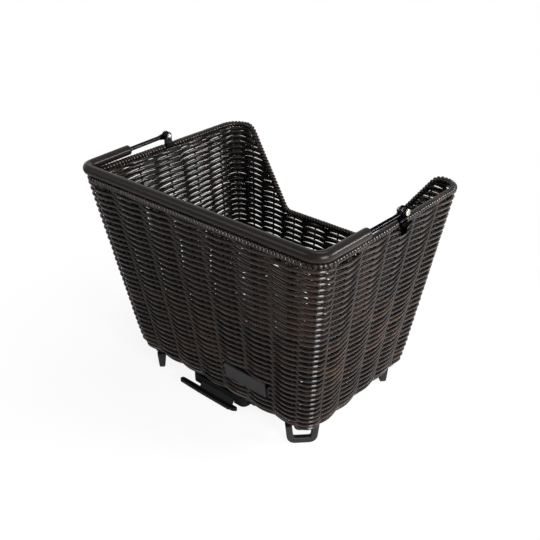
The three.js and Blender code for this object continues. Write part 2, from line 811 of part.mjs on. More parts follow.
addPiece('wire_frame', geometryOf(wireFrame()), finish.wire);
addPiece('woven_wall', geometryOf(wovenWall()), finish.strand);
addPiece('woven_floor', geometryOf(wovenFloor()), finish.strand);
addPiece('rim_binding_front', geometryOf(rimBinding('front')), finish.strand);
addPiece('rim_binding_back', geometryOf(rimBinding('back')), finish.strand);

// Pivot stack along X, from the eye inwards: eye, washer, bracket ear, cap nut. The bolt head is outside.
const eyeInner = pivotHalf - eyeThickness / 2;
const eyeOuter = pivotHalf + eyeThickness / 2;
const washerOuter = eyeInner - runningGap;
const washerInner = washerOuter - washerThickness;
const earOuter = washerInner - seam;
const earInner = earOuter - bracketThickness;
const nutOuter = earInner - seam;
const nutInner = nutOuter - nutLength;
const pivotCentre = [pivotSetback, pivotHeight];

// Pressed steel bracket: a saddle round the rim rod, an ear for the pivot and a tail over the wall's outside
function pivotBracket() {
  const half = bracketThickness / 2;
  const middle = (earInner + earOuter) / 2;
  const saddleRadius = rimRodRadius + seam + bracketWrap;
  const saddle = bar('y', pivotSetback - bracketWidth / 2, pivotSetback + bracketWidth / 2, saddleRadius,
    [rimLength / 2, rimHeight], 16);
  const neck = boxBetween(
    new THREE.Vector3(middle - half, pivotSetback - bracketWidth / 2, rimHeight + rimRodRadius),
    new THREE.Vector3(middle + half, pivotSetback + bracketWidth / 2, pivotHeight));
  const head = bar('x', earInner, earOuter, bracketWidth / 2, pivotCentre, 20);
  const wallTop = wallPlan(rimHeight - bindingRadius, 0).halfX + weaveHalf + seam;
  const wallLow = wallPlan(rimHeight - bracketTailDrop, 0).halfX + weaveHalf + seam;
  const tailShape = outlineThrough([
    [rimLength / 2 + rimRodRadius, rimHeight + half],
    [rimLength / 2 + rimRodRadius, rimHeight - half],
    [wallTop, rimHeight - bindingRadius],
    [wallLow, rimHeight - bracketTailDrop],
    [wallLow + bracketThickness * 0.8, rimHeight - bracketTailDrop],
    [wallTop + bracketThickness * 0.8, rimHeight - bindingRadius + half],
  ]);
  const tail = alongY(tailShape, pivotSetback - bracketWidth * 0.36, pivotSetback + bracketWidth * 0.36);
  const bracket = joined([saddle, neck, head, tail].map(solid));
  const rodHole = bar('y', -rimWidth / 4, rimWidth / 4, (rimRodRadius + seam) / Math.cos(Math.PI / 8),
    [rimLength / 2, rimHeight], 8);
  const boltHoleCut = bar('x', 0, rimLength, boltHole, pivotCentre, 16);
  return bracket.subtract(solid(rodHole)).subtract(solid(boltHoleCut));
}

// Hexagonal bolt head or nut along X
function hexAlongX(from, to, across) {
  return bar('x', from, to, across / 2 / Math.cos(Math.PI / 6), pivotCentre, 6);
}
function pivotBolt() {
  const head = solid(hexAlongX(eyeOuter + runningGap, eyeOuter + runningGap + boltHeadThickness, boltHeadAcross));
  const shank = solid(bar('x', nutInner + seam, eyeOuter + 1, boltRadius, pivotCentre, 16));
  return head.add(shank);
}
function pivotNut() {
  const hex = solid(hexAlongX(nutInner, nutOuter, boltHeadAcross));
  const steps = 5;
  const profile = [new THREE.Vector2(0, 0)];
  for (let i = 0; i <= steps; i += 1) {
    const angle = (Math.PI / 2) * (i / steps);
    profile.push(new THREE.Vector2((boltHeadAcross / 2) * Math.cos(angle), nutDomeLength * Math.sin(angle)));
  }
  profile[profile.length - 1].x = 0;
  const dome = new THREE.LatheGeometry(profile, 12);
  dome.rotateZ(Math.PI / 2);
  dome.translate(nutInner, pivotSetback, pivotHeight);
  const bore = solid(bar('x', nutInner, nutOuter + 1, boltHole, pivotCentre, 16));
  return hex.add(solid(dome)).subtract(bore);
}
function pivotWasher() {
  const disc = solid(bar('x', washerInner, washerOuter, washerRadius, pivotCentre, 20));
  return disc.subtract(solid(bar('x', 0, rimLength, boltHole, pivotCentre, 16)));
}
function mirroredX(body) {
  return body.mirror([1, 0, 0]);
}
[['right', (body) => body], ['left', mirroredX]].forEach(([side, place]) => {
  addPiece(`pivot_bracket_${side}`, geometryOf(place(pivotBracket()).subtract(stakeEndChannels)),
    finish.blackSteel);
  addPiece(`pivot_bolt_${side}`, geometryOf(place(pivotBolt())), finish.brightSteel);
  addPiece(`pivot_nut_${side}`, geometryOf(place(pivotNut())), finish.brightSteel);
  addPiece(`pivot_washer_${side}`, geometryOf(place(pivotWasher())), finish.brightSteel);
});

// Bail: a bent rod with flattened eyes, lying on the front rim at rest
const bailBarY = pivotSetback - bailReach;
const bailBarZ = rimHeight + bindingRadius + seam + gripRadius;
function bailCorners(backEnd) {
  const share = (backEnd - bailBarY) / bailReach;
  const endX = bailFrontHalf + (pivotHalf - bailFrontHalf) * share;
  const endZ = bailBarZ + (pivotHeight - bailBarZ) * share;
  const corner = (x, y, z, radius) => ({ at: new THREE.Vector3(x, y, z), radius });
  return [
    corner(endX, backEnd, endZ, 0),
    corner(bailFrontHalf, bailBarY, bailBarZ, bailBendRadius),
    corner(-bailFrontHalf, bailBarY, bailBarZ, bailBendRadius),
    corner(-endX, backEnd, endZ, 0),
  ];
}
function bailRod() {
  const flatStart = pivotSetback - 2.4 * eyeRadius;
  const flatEnd = pivotSetback - 1.1 * eyeRadius;
  const line = bentLine(bailCorners(flatStart), false, bailBendStep);
  const eyeSpot = (sx, y) => new THREE.Vector3(sx * pivotHalf, y, pivotHeight);
  const points = [eyeSpot(1, pivotSetback), eyeSpot(1, flatEnd), ...line, eyeSpot(-1, flatEnd),
    eyeSpot(-1, pivotSetback)];
  const flat = [eyeThickness / 2 / Math.cos(Math.PI / 8), eyeRadius * 0.8];
  const round = [bailRodRadius, bailRodRadius];
  const sizes = points.map((_, i) => (i < 2 || i > points.length - 3 ? flat : round));
  const rod = solid(tube(points, bailRodRadius, { sizes }));
  const eyes = [1, -1].map((sx) => {
    const from = Math.min(sx * eyeInner, sx * eyeOuter);
    return solid(bar('x', from, from + eyeThickness, eyeRadius, pivotCentre, 20));
  });
  const holes = solid(bar('x', -rimLength, rimLength, boltHole, pivotCentre, 16));
  return joined([rod, ...eyes]).subtract(holes);
}
addPiece('bail_rod', geometryOf(bailRod()), finish.blackSteel);
const gripSides = 10;
const gripBore = (bailRodRadius + seam) / Math.cos(Math.PI / gripSides);
addPiece('grip_sleeve', geometryOf(sleeve(bentLine(bailCorners(gripEnd), false, bailBendStep), gripRadius, gripBore,
  { sides: gripSides })), finish.grip);

// Feet: tapered moulded loops across the corners, with a flange screwed up through the woven floor
const footFlange = 3;
const footTop = floorHeight + weaveHalf;
function footShape() {
  const half = (z) => (footBottomWidth + ((footTopWidth - footBottomWidth) * z) / floorBottom) / 2;
  const round = footBar * 0.8;
  const shape = new THREE.Shape();
  shape.moveTo(-half(footTop), footTop);
  shape.lineTo(-half(round), round);
  shape.quadraticCurveTo(-half(0), 0, -half(0) + round, 0);
  shape.lineTo(half(0) - round, 0);
  shape.quadraticCurveTo(half(0), 0, half(round), round);
  shape.lineTo(half(footTop), footTop);
  const hole = new THREE.Path();
  const inner = footBar * 0.5;
  const holeTop = floorBottom - footFlange - seam;
  hole.moveTo(-half(holeTop) + footBar, holeTop);
  hole.lineTo(half(holeTop) - footBar, holeTop);
  hole.lineTo(half(footBar + inner) - footBar, footBar + inner);
  hole.quadraticCurveTo(half(footBar) - footBar, footBar, half(footBar) - footBar - inner, footBar);
  hole.lineTo(-half(footBar) + footBar + inner, footBar);
  hole.quadraticCurveTo(-half(footBar) + footBar, footBar, -half(footBar + inner) + footBar, footBar + inner);
  shape.holes.push(hole);
  return shape;
}
const footEnvelope = wallEnvelope(seam);
function foot(sx, sy) {
  const loop = new THREE.ExtrudeGeometry(footShape(), { depth: 1, bevelEnabled: false, curveSegments: 4 });
  const spots = loop.attributes.position;
  for (let i = 0; i < spots.count; i += 1) {
    const z = spots.getY(i);
    const share = Math.min(z / floorBottom, 1);
    const thickness = footBottomThickness + (footTopThickness - footBottomThickness) * share;
    spots.setXYZ(i, spots.getX(i), (spots.getZ(i) - 0.5) * thickness, z);
  }
  const flangeTop = floorBottom - seam;
  const boss = slab(roundedRectangle(0, -footScrewInset / 2, footTopWidth * 0.5, footScrewInset * 1.8,
    footBar * 0.6), flangeTop - footFlange, flangeTop, 3);
  const turn = Math.atan2(sy, sx) - Math.PI / 2;
  const placed = (geometry) => geometry.rotateZ(turn).translate(sx * footAlong, sy * footAcross, 0);
  const merged = mergeVertices(stripped(loop));
  const turned = closedSurface(Array.from(merged.attributes.position.array), Array.from(merged.index.array));
  const body = solid(placed(turned)).add(solid(placed(boss)));
  const hole = bar('z', 0, rimHeight / 2, footScrewDiameter / 2 + seam, footScrewPlace(sx, sy), screwSides);
  return body.subtract(footEnvelope).subtract(solid(hole));
}
function stripped(geometry) {
  geometry.deleteAttribute('normal');
  geometry.deleteAttribute('uv');
  return geometry;
}

// Screw with a domed head above the floor, and the washer under its head
function domedScrew(place, headBottom, tip, radius, headRadius, headHeight) {
  const profile = [
    new THREE.Vector2(0, tip), new THREE.Vector2(radius, tip), new THREE.Vector2(radius, headBottom),
    new THREE.Vector2(headRadius, headBottom), new THREE.Vector2(headRadius * 0.94, headBottom + headHeight * 0.5),
    new THREE.Vector2(headRadius * 0.6, headBottom + headHeight * 0.9), new THREE.Vector2(0, headBottom + headHeight),
  ];
  return new THREE.LatheGeometry(profile, screwSides).rotateX(Math.PI / 2).translate(place[0], place[1], 0);
}
function washerRing(place, bottom, top, outer, inner) {
  return solid(bar('z', bottom, top, outer, place))
    .subtract(solid(bar('z', 0, rimHeight, inner, place, screwSides)));
}
const footWasherBottom = floorTop + seam;
const footWasherTop = footWasherBottom + washerThickness;
footCorners.forEach(({ name, sx, sy }) => {
  const place = footScrewPlace(sx, sy);
  const screwRadius = footScrewDiameter / 2;
  addPiece(`foot_${name}`, geometryOf(foot(sx, sy)), finish.blackPlastic);
  addPiece(`foot_washer_${name}`, geometryOf(washerRing(place, footWasherBottom, footWasherTop,
    footScrewDiameter * 1.5, screwRadius + seam)), finish.brightSteel);
  addPiece(`foot_screw_${name}`, domedScrew(place, footWasherTop + seam,
    floorBottom - seam - footFlange, screwRadius, footScrewDiameter * 0.95, footScrewDiameter * 0.55),
  finish.brightSteel);
});

// Badge plate: a bare moulded plate in a window of the front weave, held by a backing strip and two rivets
const badgeInner = stakeRadius + seam;
const badgeBack = -stakeRadius - seam;
function badgeRivetHole(side, radius, from, to) {
  return onFrontWall(bar('y', -to, -from, radius, [(side * badgeRivetSpacing) / 2, 0], 10));
}
function badgePlate(from, to, radius) {
  const plate = solid(badgeBlock(badgeLength, badgeWidth, from, to, radius));
  const holes = [-1, 1].map((side) => solid(
    badgeRivetHole(side, badgeRivetDiameter / 2 + seam, from - 1, to - badgeThickness * 0.4)));
  return plate.subtract(joined(holes));
}
addPiece('badge_plate', geometryOf(badgePlate(badgeInner, badgeInner + badgeThickness, badgeThickness / 2)),
  finish.badge);
const badgeBackingHoles = joined([-1, 1].map((side) => solid(
  badgeRivetHole(side, badgeRivetDiameter / 2 + seam, -4 * weaveHalf, 0))));
addPiece('badge_backing', geometryOf(solid(badgeBlock(badgeLength, badgeWidth,
  badgeBack - badgeBackingThickness, badgeBack, badgeThickness / 2)).subtract(badgeBackingHoles)),
finish.blackPlastic);
[['left', -1], ['right', 1]].forEach(([name, side]) => {
  const radius = badgeRivetDiameter / 2;
  const headFrom = badgeBack - badgeBackingThickness - seam - radius;
  const shank = badgeRivetHole(side, radius, headFrom, badgeInner + badgeThickness * 0.6 - seam);
  const head = badgeRivetHole(side, badgeRivetDiameter, headFrom, headFrom + radius);
  addPiece(`badge_rivet_${name}`, geometryOf(solid(shank).add(solid(head))), finish.brightSteel);
});

// Carrier adapter under the floor
const adapterTop = floorBottom - seam;
const adapterUnder = adapterTop - adapterDepth;
const adapterRoof = adapterTop - adapterPlate;
const adapterBackEnd = adapterFront + adapterLength;
const adapterMiddle = (adapterFront + adapterBackEnd) / 2;
const sliderTop = adapterRoof - seam;
const sliderUnder = sliderTop - sliderThickness;
const coverTop = sliderUnder - seam;
const coverUnder = coverTop - coverThickness;
const bossRadius = 6.5;
const nutAcross = 8;
const nutHeight = 4;
const coverFront = adapterBoltFront + bossRadius + 1;
const coverBack = coverFront + coverLength;
const coverScrewPlaces = [coverFront + bossRadius + 3, coverBack - bossRadius - 3].flatMap((y) => (
  [-1, 1].map((side) => [adapterCentre + (side * adapterBoltSpacing) / 2, y])));
const railFront = adapterFront + (adapterLength - railLength) * 0.62;
const springAxis = (sliderTop + coverTop) / 2;
const ribBack = -58.7;
const ribThickness = 3;
const ribFront = ribBack - ribThickness;
const springFront = ribBack + seam;
const springBack = springFront + springLength;
const windowWidth = springOuter + 5;
const toothBack = sliderEnd - 4;
const toothFront = toothBack - toothDepth;
const handleBarBack = adapterFront - handleReach;
const handleBarFront = handleBarBack - handleBarDepth;
const handleBarTop = adapterTop - handleBarDrop;
const handleBarUnder = handleBarTop - handleBarHeight;

function vector(x, y, z) {
  return new THREE.Vector3(x, y, z);
}
function adapterBody() {
  const outline = (inset) => roundedRectangle(adapterCentre, adapterMiddle, adapterWidth - 2 * inset,
    adapterLength - 2 * inset, 9 - inset);
  const shell = solid(slab(outline(0), adapterUnder, adapterTop, 3))
    .subtract(solid(slab(outline(adapterSkirt), adapterUnder - 1, adapterRoof, 3)));
  const left = adapterCentre - adapterWidth / 2;
  const right = adapterCentre + adapterWidth / 2;
  const railUnder = adapterUnder - railDrop;
  const parts = [shell];
  [[left, 1], [right, -1]].forEach(([x, inward]) => {
    const span = (from, to, low, high) => boxBetween(
      vector(Math.min(x + inward * from, x + inward * to), railFront, low),
      vector(Math.max(x + inward * from, x + inward * to), railFront + railLength, high));
    parts.push(solid(span(0, railThickness, railUnder, adapterUnder + 1)));
    parts.push(solid(span(0, railThickness + railLip, railUnder, railUnder + railThickness)));
    const guide = adapterCentre - inward * (stemWidth / 2 + runningGap);
    parts.push(solid(boxBetween(
      vector(Math.min(guide, guide - inward * 2), adapterFront + 1, coverTop + seam),
      vector(Math.max(guide, guide - inward * 2), coverFront, adapterRoof + 1))));
  });
  adapterBoltPlaces.forEach((place) => {
    parts.push(solid(bar('z', adapterUnder, adapterRoof + 1, bossRadius, place, 12)));
  });
  coverScrewPlaces.forEach((place) => {
    parts.push(solid(bar('z', coverTop + seam, adapterRoof + 1, bossRadius * 0.6, place, 10)));
  });
  parts.push(solid(boxBetween(
    vector(adapterCentre - windowWidth / 2 + seam, ribFront, sliderUnder),
    vector(adapterCentre + windowWidth / 2 - seam, ribBack, adapterRoof + 1))));
  let body = joined(parts);
  adapterBoltPlaces.forEach((place) => {
    body = body.subtract(solid(bar('z', 0, rimHeight, boltHole, place, screwSides)));
    const pocket = bar('z', adapterUnder - 1, adapterUnder + nutHeight + 1,
      (nutAcross / 2 + seam) / Math.cos(Math.PI / 6), place, 6);
    body = body.subtract(solid(pocket));
  });
  coverScrewPlaces.forEach((place) => {
    body = body.subtract(solid(bar('z', 0, adapterRoof, coverScrewDiameter / 2 + seam, place, screwSides)));
  });
  const stemGate = boxBetween(
    vector(adapterCentre - stemWidth / 2 - runningGap, adapterFront - 1, adapterUnder - 1),
    vector(adapterCentre + stemWidth / 2 + runningGap, adapterFront + adapterSkirt + 1, adapterRoof));
  return body.subtract(solid(stemGate));
}
addPiece('adapter_body', geometryOf(adapterBody()), finish.blackPlastic);

// Clamp plate on the woven floor, with the bolts that draw the adapter up against the weave
const clampBottom = floorTop + seam;
const clampTop = clampBottom + clampPlateThickness;
function clampPlate() {
  const margin = 9;
  const shape = roundedRectangle(adapterCentre, (adapterBoltFront + adapterBoltBack) / 2,
    adapterBoltSpacing + 2 * margin, adapterBoltBack - adapterBoltFront + 2 * margin, margin - 1);
  let plate = solid(slab(shape, clampBottom, clampTop, 3));
  adapterBoltPlaces.forEach((place) => {
    plate = plate.subtract(solid(bar('z', 0, rimHeight, boltHole, place, screwSides)));
  });
  return plate;
}
addPiece('clamp_plate', geometryOf(clampPlate()), finish.blackSteel);
const nutBottom = adapterUnder + seam;
adapterBoltPlaces.forEach((place, i) => {
  const number = i + 1;
  addPiece(`adapter_bolt_${number}`, domedScrew(place, clampTop + seam, nutBottom + seam, boltRadius,
    boltDiameter * 0.95, boltDiameter * 0.55), finish.brightSteel);
  const nut = solid(bar('z', nutBottom, nutBottom + nutHeight, nutAcross / 2 / Math.cos(Math.PI / 6), place, 6));
  const hole = solid(bar('z', 0, rimHeight, boltHole, place, screwSides));
  addPiece(`adapter_nut_${number}`, geometryOf(nut.subtract(hole)), finish.brightSteel);
});

// Release handle: a cross bar in front, a stem that runs back into the adapter, and the latch tooth
function releaseHandle() {
  const stemShape = outlineThrough([
    [handleBarFront, handleBarUnder], [handleBarBack, handleBarUnder],
    [adapterFront + 0.5, sliderUnder], [adapterFront + stemLength, sliderUnder],
    [adapterFront + stemLength, sliderTop], [adapterFront - 0.5, sliderTop],
    [handleBarBack - 1.5, handleBarTop], [handleBarFront, handleBarTop],
  ]);
  const stem = alongX(stemShape, adapterCentre - stemWidth / 2, adapterCentre + stemWidth / 2);
  const half = handleBarLength / 2;
  const nose = handleBarDepth * 0.45;
  const barShape = new THREE.Shape();
  barShape.moveTo(handleBarCentre - half + nose, handleBarFront + 1.2);
  barShape.quadraticCurveTo(handleBarCentre, handleBarFront - 1.2, handleBarCentre + half - 2.2 * nose,
    handleBarFront + 1.2);
  barShape.quadraticCurveTo(handleBarCentre + half, handleBarFront + 2.5, handleBarCentre + half,
    handleBarBack - 1);
  barShape.lineTo(handleBarCentre + half - 1, handleBarBack);
  barShape.lineTo(handleBarCentre - half + nose, handleBarBack);
  barShape.absarc(handleBarCentre - half + nose, handleBarBack - nose, nose, Math.PI / 2, 1.5 * Math.PI);
  const grip = slab(barShape, handleBarUnder, handleBarTop, 6);
  const runner = boxBetween(vector(adapterCentre - sliderWidth / 2, adapterFront + stemLength - 5, sliderUnder),
    vector(adapterCentre + sliderWidth / 2, sliderEnd, sliderTop));
  const toothShape = outlineThrough([
    [toothFront, sliderUnder + 1], [toothFront, sliderUnder - toothDrop],
    [toothFront + toothDepth * 0.4, sliderUnder - toothDrop], [toothBack, sliderUnder - toothDrop * 0.35],
    [toothBack, sliderUnder + 1],
  ]);
  const tooth = alongX(toothShape, adapterCentre - toothWidth / 2, adapterCentre + toothWidth / 2);
  const window = boxBetween(vector(adapterCentre - windowWidth / 2, ribFront - seam, sliderUnder - 1),
    vector(adapterCentre + windowWidth / 2, springBack + seam, sliderTop + 1));
  return joined([stem, grip, runner, tooth].map(solid)).subtract(solid(window));
}
addPiece('release_handle', geometryOf(releaseHandle()), finish.blackPlastic);

// Return spring between the adapter's rib and the back edge of the slider's window
const springSteps = 8;
function springPoints() {
  const radius = (springOuter - springWire) / 2;
  const steps = springTurns * springSteps;
  return Array.from({ length: steps + 1 }, (_, i) => {
    const angle = (2 * Math.PI * i) / springSteps;
    const y = springFront + springWire / 2 + ((springLength - springWire) * i) / steps;
    return vector(adapterCentre + radius * Math.cos(angle), y, springAxis + radius * Math.sin(angle));
  });
}
// Least gap between turns, over points more than half a turn apart
function leastSpringGap(points) {
  let least = Infinity;
  points.forEach((point, i) => {
    points.slice(i + springSteps / 2).forEach((other) => {
      least = Math.min(least, point.distanceTo(other) - springWire);
    });
  });
  return least;
}
const springLine = springPoints();
console.log(`latch_spring least gap to itself ${leastSpringGap(springLine).toFixed(2)} mm`);
addPiece('latch_spring', tube(springLine, springWire / 2, { sides: 5, reference: vector(0, 1, 0) }),
  finish.brightSteel);

// Cover that holds the slider up, with a slot for the latch tooth, and its countersunk screws
const screwHeadHeight = coverScrewDiameter * 0.5;
function sliderCover() {
  const shape = roundedRectangle(adapterCentre, (coverFront + coverBack) / 2,
    adapterBoltSpacing + 2 * bossRadius * 0.8, coverLength, 4);
  let cover = solid(slab(shape, coverUnder, coverTop, 3));
  cover = cover.subtract(solid(boxBetween(
    vector(adapterCentre - toothWidth / 2 - 1, toothFront - releaseTravel - 1, coverUnder - 1),
    vector(adapterCentre + toothWidth / 2 + 1, toothBack + 0.5, coverTop + 1))));
  coverScrewPlaces.forEach((place) => {
    cover = cover.subtract(solid(bar('z', 0, rimHeight, coverScrewDiameter / 2 + seam, place, screwSides)));
    const sink = new THREE.CylinderGeometry(coverScrewDiameter / 2 + seam, coverScrewDiameter + 2 * seam,
      screwHeadHeight + seam, screwSides);
    sink.rotateX(Math.PI / 2).translate(place[0], place[1], coverUnder + (screwHeadHeight + seam) / 2);
    cover = cover.subtract(solid(sink));
  });
  return cover;
}
addPiece('slider_cover', geometryOf(sliderCover()), finish.blackPlastic);
coverScrewPlaces.forEach((place, i) => {
  const profile = [
    new THREE.Vector2(0, coverUnder), new THREE.Vector2(coverScrewDiameter, coverUnder),
    new THREE.Vector2(coverScrewDiameter / 2, coverUnder + screwHeadHeight),
    new THREE.Vector2(coverScrewDiameter / 2, adapterRoof - seam), new THREE.Vector2(0, adapterRoof - seam),
  ];
  const screw = new THREE.LatheGeometry(profile, screwSides).rotateX(Math.PI / 2).translate(place[0], place[1], 0);
  addPiece(`cover_screw_${i + 1}`, screw, finish.brightSteel);
});

export default basket;
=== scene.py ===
"""A woven bicycle basket: bail handle, loop feet and quick-release adapter, seen from its front right."""

import bpy
import numpy as np
from mathutils import Matrix


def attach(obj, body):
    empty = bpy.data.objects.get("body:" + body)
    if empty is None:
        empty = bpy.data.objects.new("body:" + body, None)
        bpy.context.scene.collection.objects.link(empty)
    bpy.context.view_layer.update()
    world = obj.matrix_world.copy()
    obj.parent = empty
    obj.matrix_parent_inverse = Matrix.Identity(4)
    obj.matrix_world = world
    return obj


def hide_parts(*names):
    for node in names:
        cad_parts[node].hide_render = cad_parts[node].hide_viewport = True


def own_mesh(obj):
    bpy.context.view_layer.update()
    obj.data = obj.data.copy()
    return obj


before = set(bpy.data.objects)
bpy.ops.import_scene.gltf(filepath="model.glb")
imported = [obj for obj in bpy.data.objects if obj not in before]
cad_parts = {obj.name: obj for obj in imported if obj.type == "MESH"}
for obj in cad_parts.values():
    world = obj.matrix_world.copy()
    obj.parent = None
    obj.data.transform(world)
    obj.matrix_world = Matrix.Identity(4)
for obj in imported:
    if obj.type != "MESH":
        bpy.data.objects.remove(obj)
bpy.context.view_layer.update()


# The wire frame: black coated steel wire, welded. A rim rod runs round the top and down through the cut-out
# in the back wall, 29 stakes hang from it and turn in under the foot to a base ring, and 8 wires cross the
# floor. The binding hides the welds at the rod, and the weave hides most of the rest.

RIM_LENGTH, RIM_WIDTH, RIM_HEIGHT = 400.0, 296.0, 306.0
BASE_LENGTH, BASE_WIDTH, FLOOR_HEIGHT = 322.0, 224.0, 35.0
CORNER_RADIUS, LEAST_RADIUS = 25.0, 4.0
FOOT_TURN = 14.0
FOOT_START = np.radians(82.0)
TURN_RISE = FOOT_TURN * FOOT_START
WALL_FOOT = FLOOR_HEIGHT + FOOT_TURN
CUT_FLOOR, CUT_FLOOR_HALF, CUT_MOUTH_HALF, CUT_FILLET = 191.0, 80.0, 165.5, 16.0
WALL_STAKES = (7, 5, 8, 5)
STAKES = sum(WALL_STAKES) + 4
WALL_SHIFTS = (-4.0, 10.0, 0.0, 0.0)
CORNER_GAP = 38.0
RIM_ROD, STAKE_WIRE, BASE_WIRE = 2.5, 1.5, 2.0
FLOOR_WIRES, FLOOR_WIRE_SPREAD, FLOOR_WIRE_POINTS = 8, 261.6, 12
FLOOR_WIRE_STEP = FLOOR_WIRE_SPREAD / (FLOOR_WIRES - 1)
FRONT_SIDE, BACK_SIDE, BACK_REACH = -90.0, 100.0, 185.0
STAKE_FOOT_POINTS, STAKE_WALL_POINTS, STAKE_WALL_START = 7, 14, 20.0
STAKE_SHORT, STAKE_TUCK, FACING_HEIGHT = 12.0, 0.985, 100.0


def stake_table():
    """Wall number and share of the wall's half length of each stake; a corner stake has no share (nan)."""
    walls, shares = [], []
    for wall, count in enumerate(WALL_STAKES):
        length = RIM_WIDTH if wall % 2 else RIM_LENGTH
        spacing = (length - 2 * CORNER_GAP) / (count - 1)
        walls += [wall] * (count + 1)
        shift = WALL_SHIFTS[wall]
        shares += [np.nan] + [((i - (count - 1) / 2) * spacing + shift) / (length / 2) for i in range(count)]
    return np.array(walls + [4]), np.array(shares + [np.nan])


STAKE_WALL, STAKE_SHARE = stake_table()


def outline_sizes(height, inset):
    """Half length, half width and corner radius of the wall: both halves grow evenly from floor to rim, less
    the inset, and the corner radius shrinks by the inset."""
    share = (height - FLOOR_HEIGHT) / (RIM_HEIGHT - FLOOR_HEIGHT)
    half_x = (BASE_LENGTH + (RIM_LENGTH - BASE_LENGTH) * share) / 2 - inset
    half_y = (BASE_WIDTH + (RIM_WIDTH - BASE_WIDTH) * share) / 2 - inset
    return half_x, half_y, np.maximum(CORNER_RADIUS - inset, LEAST_RADIUS)


def wall_runs(half_x, half_y, radius):
    """Length of an eighth of a corner circle, then of a long and a short wall between the middles of its
    corners: the straight run and an eighth of a circle at each end."""
    eighth = np.pi * radius / 4
    return eighth, 2 * (eighth + half_x - radius), 2 * (eighth + half_y - radius)


def stake_distance(k, half_x, half_y, radius):
    """Distance round the outline to stake k: the walls before it, an eighth of a corner circle, and its place
    on the straight, which is the wall's half straight plus its share of the half length."""
    eighth, long_wall, short_wall = wall_runs(half_x, half_y, radius)
    wall, share = STAKE_WALL[k], STAKE_SHARE[k]
    half = np.where(wall % 2 == 0, half_x, half_y)
    own = np.where(np.isnan(share), 0.0, eighth + half - radius + np.nan_to_num(share) * half)
    return (wall + 1) // 2 * long_wall + wall // 2 * short_wall + own


def wall_place(u, height, inset):
    """Point and outward direction on the outline at stake number u, which may lie between two stakes: the
    distance is mixed between the neighbours, then laid off on straights and corner arcs."""
    half_x, half_y, radius = outline_sizes(height, inset)
    k = np.clip(np.floor(u).astype(int), 0, STAKES - 1)
    distance = ((k + 1 - u) * stake_distance(k, half_x, half_y, radius)
                + (u - k) * stake_distance(k + 1, half_x, half_y, radius))
    eighth, long_wall, short_wall = wall_runs(half_x, half_y, radius)
    wall = ((distance > long_wall).astype(int) + (distance > long_wall + short_wall)
            + (distance > 2 * long_wall + short_wall))
    run = distance - (wall + 1) // 2 * long_wall - wall // 2 * short_wall - eighth
    half = np.where(wall % 2 == 0, half_x, half_y)
    across = np.where(wall % 2 == 0, half_y, half_x)
    straight = half - radius
    lean = np.where(run < 0, run, np.where(run > 2 * straight, run - 2 * straight, 0.0)) / radius
    along = np.clip(run - straight, -straight, straight) + radius * np.sin(lean)
    out = across - radius + radius * np.cos(lean)
    turn = wall * np.pi / 2
    x = along * np.cos(turn) + out * np.sin(turn)
    y = along * np.sin(turn) - out * np.cos(turn)
    return x, y, np.sin(lean + turn), -np.cos(lean + turn)


def wall_level(rise):
    """Height, inset and lean at a distance up the wall: first the arc under the foot, then straight up."""
    lean = np.maximum(FOOT_START - rise / FOOT_TURN, 0.0)
    height = FLOOR_HEIGHT + FOOT_TURN * (1 - np.sin(lean)) + np.maximum(rise - TURN_RISE, 0.0)
    return height, FOOT_TURN * (1 - np.cos(lean)), lean


def wall_point(u, rise, offset):
    """Point at an offset outside the wall's middle surface, and the outward direction there."""
    height, inset, lean = wall_level(rise)
    x, y, nx, ny = wall_place(u, height, inset)
    outward = np.stack([nx * np.cos(lean), ny * np.cos(lean), -np.sin(lean)], -1)
    return np.stack([x, y, height], -1) + outward * np.asarray(offset)[..., None], outward


FINE_STEP, LEAST_STEP = 1.5, 0.2


def bent_line(corners, radii, step, loop=False):
    """Points about a step apart on straight runs joined by arcs: at each corner the arc of that radius
    touches both runs, its centre on the line that halves the angle. Unless the step is fine, the ends of the
    runs and the arcs' own points are kept too."""
    corners = np.asarray(corners, float)
    count, line = len(corners), []
    for i in range(count):
        if not loop and i in (0, count - 1):
            line.append(corners[i:i + 1])
            continue
        back = corners[i - 1] - corners[i]
        ahead = corners[(i + 1) % count] - corners[i]
        back, ahead = back / np.linalg.norm(back), ahead / np.linalg.norm(ahead)
        turn = np.pi - np.arccos(np.clip(back @ ahead, -1, 1))
        middle = (back + ahead) / np.linalg.norm(back + ahead)
        centre = corners[i] + middle * radii[i] / np.cos(turn / 2)
        start = corners[i] + back * radii[i] * np.tan(turn / 2) - centre
        end = corners[i] + ahead * radii[i] * np.tan(turn / 2) - centre
        t = np.linspace(0, turn, max(3, int(radii[i] * turn / step) + 1))[:, None]
        line.append(centre + (start * np.sin(turn - t) + end * np.sin(t)) / np.sin(turn))
    points = np.concatenate(line + ([line[0][:1]] if loop else []))
    travel = np.concatenate([[0], np.cumsum(np.linalg.norm(np.diff(points, axis=0), axis=1))])
    even = np.linspace(0, travel[-1], int(travel[-1] / step) + 1)
    merged = np.union1d(even, travel) if step > FINE_STEP else even
    merged = merged[np.concatenate([[True], np.diff(merged) > LEAST_STEP])]
    points = np.stack([np.interp(merged, travel, points[:, k]) for k in range(3)], -1)
    return points[:-1] if loop else points


def across_line(points, reference, loop=False):
    """Two directions square to a line at each point: the first lies in the plane of the line and the
    reference, and the second is square to both."""
    if loop:
        tangent = np.roll(points, -1, 0) - np.roll(points, 1, 0)
    else:
        tangent = np.gradient(points, axis=0)
    tangent /= np.linalg.norm(tangent, axis=1, keepdims=True)
    reference = np.broadcast_to(np.asarray(reference, float), points.shape)
    first = reference - (reference * tangent).sum(1, keepdims=True) * tangent
    first /= np.linalg.norm(first, axis=1, keepdims=True)
    return first, np.cross(tangent, first)


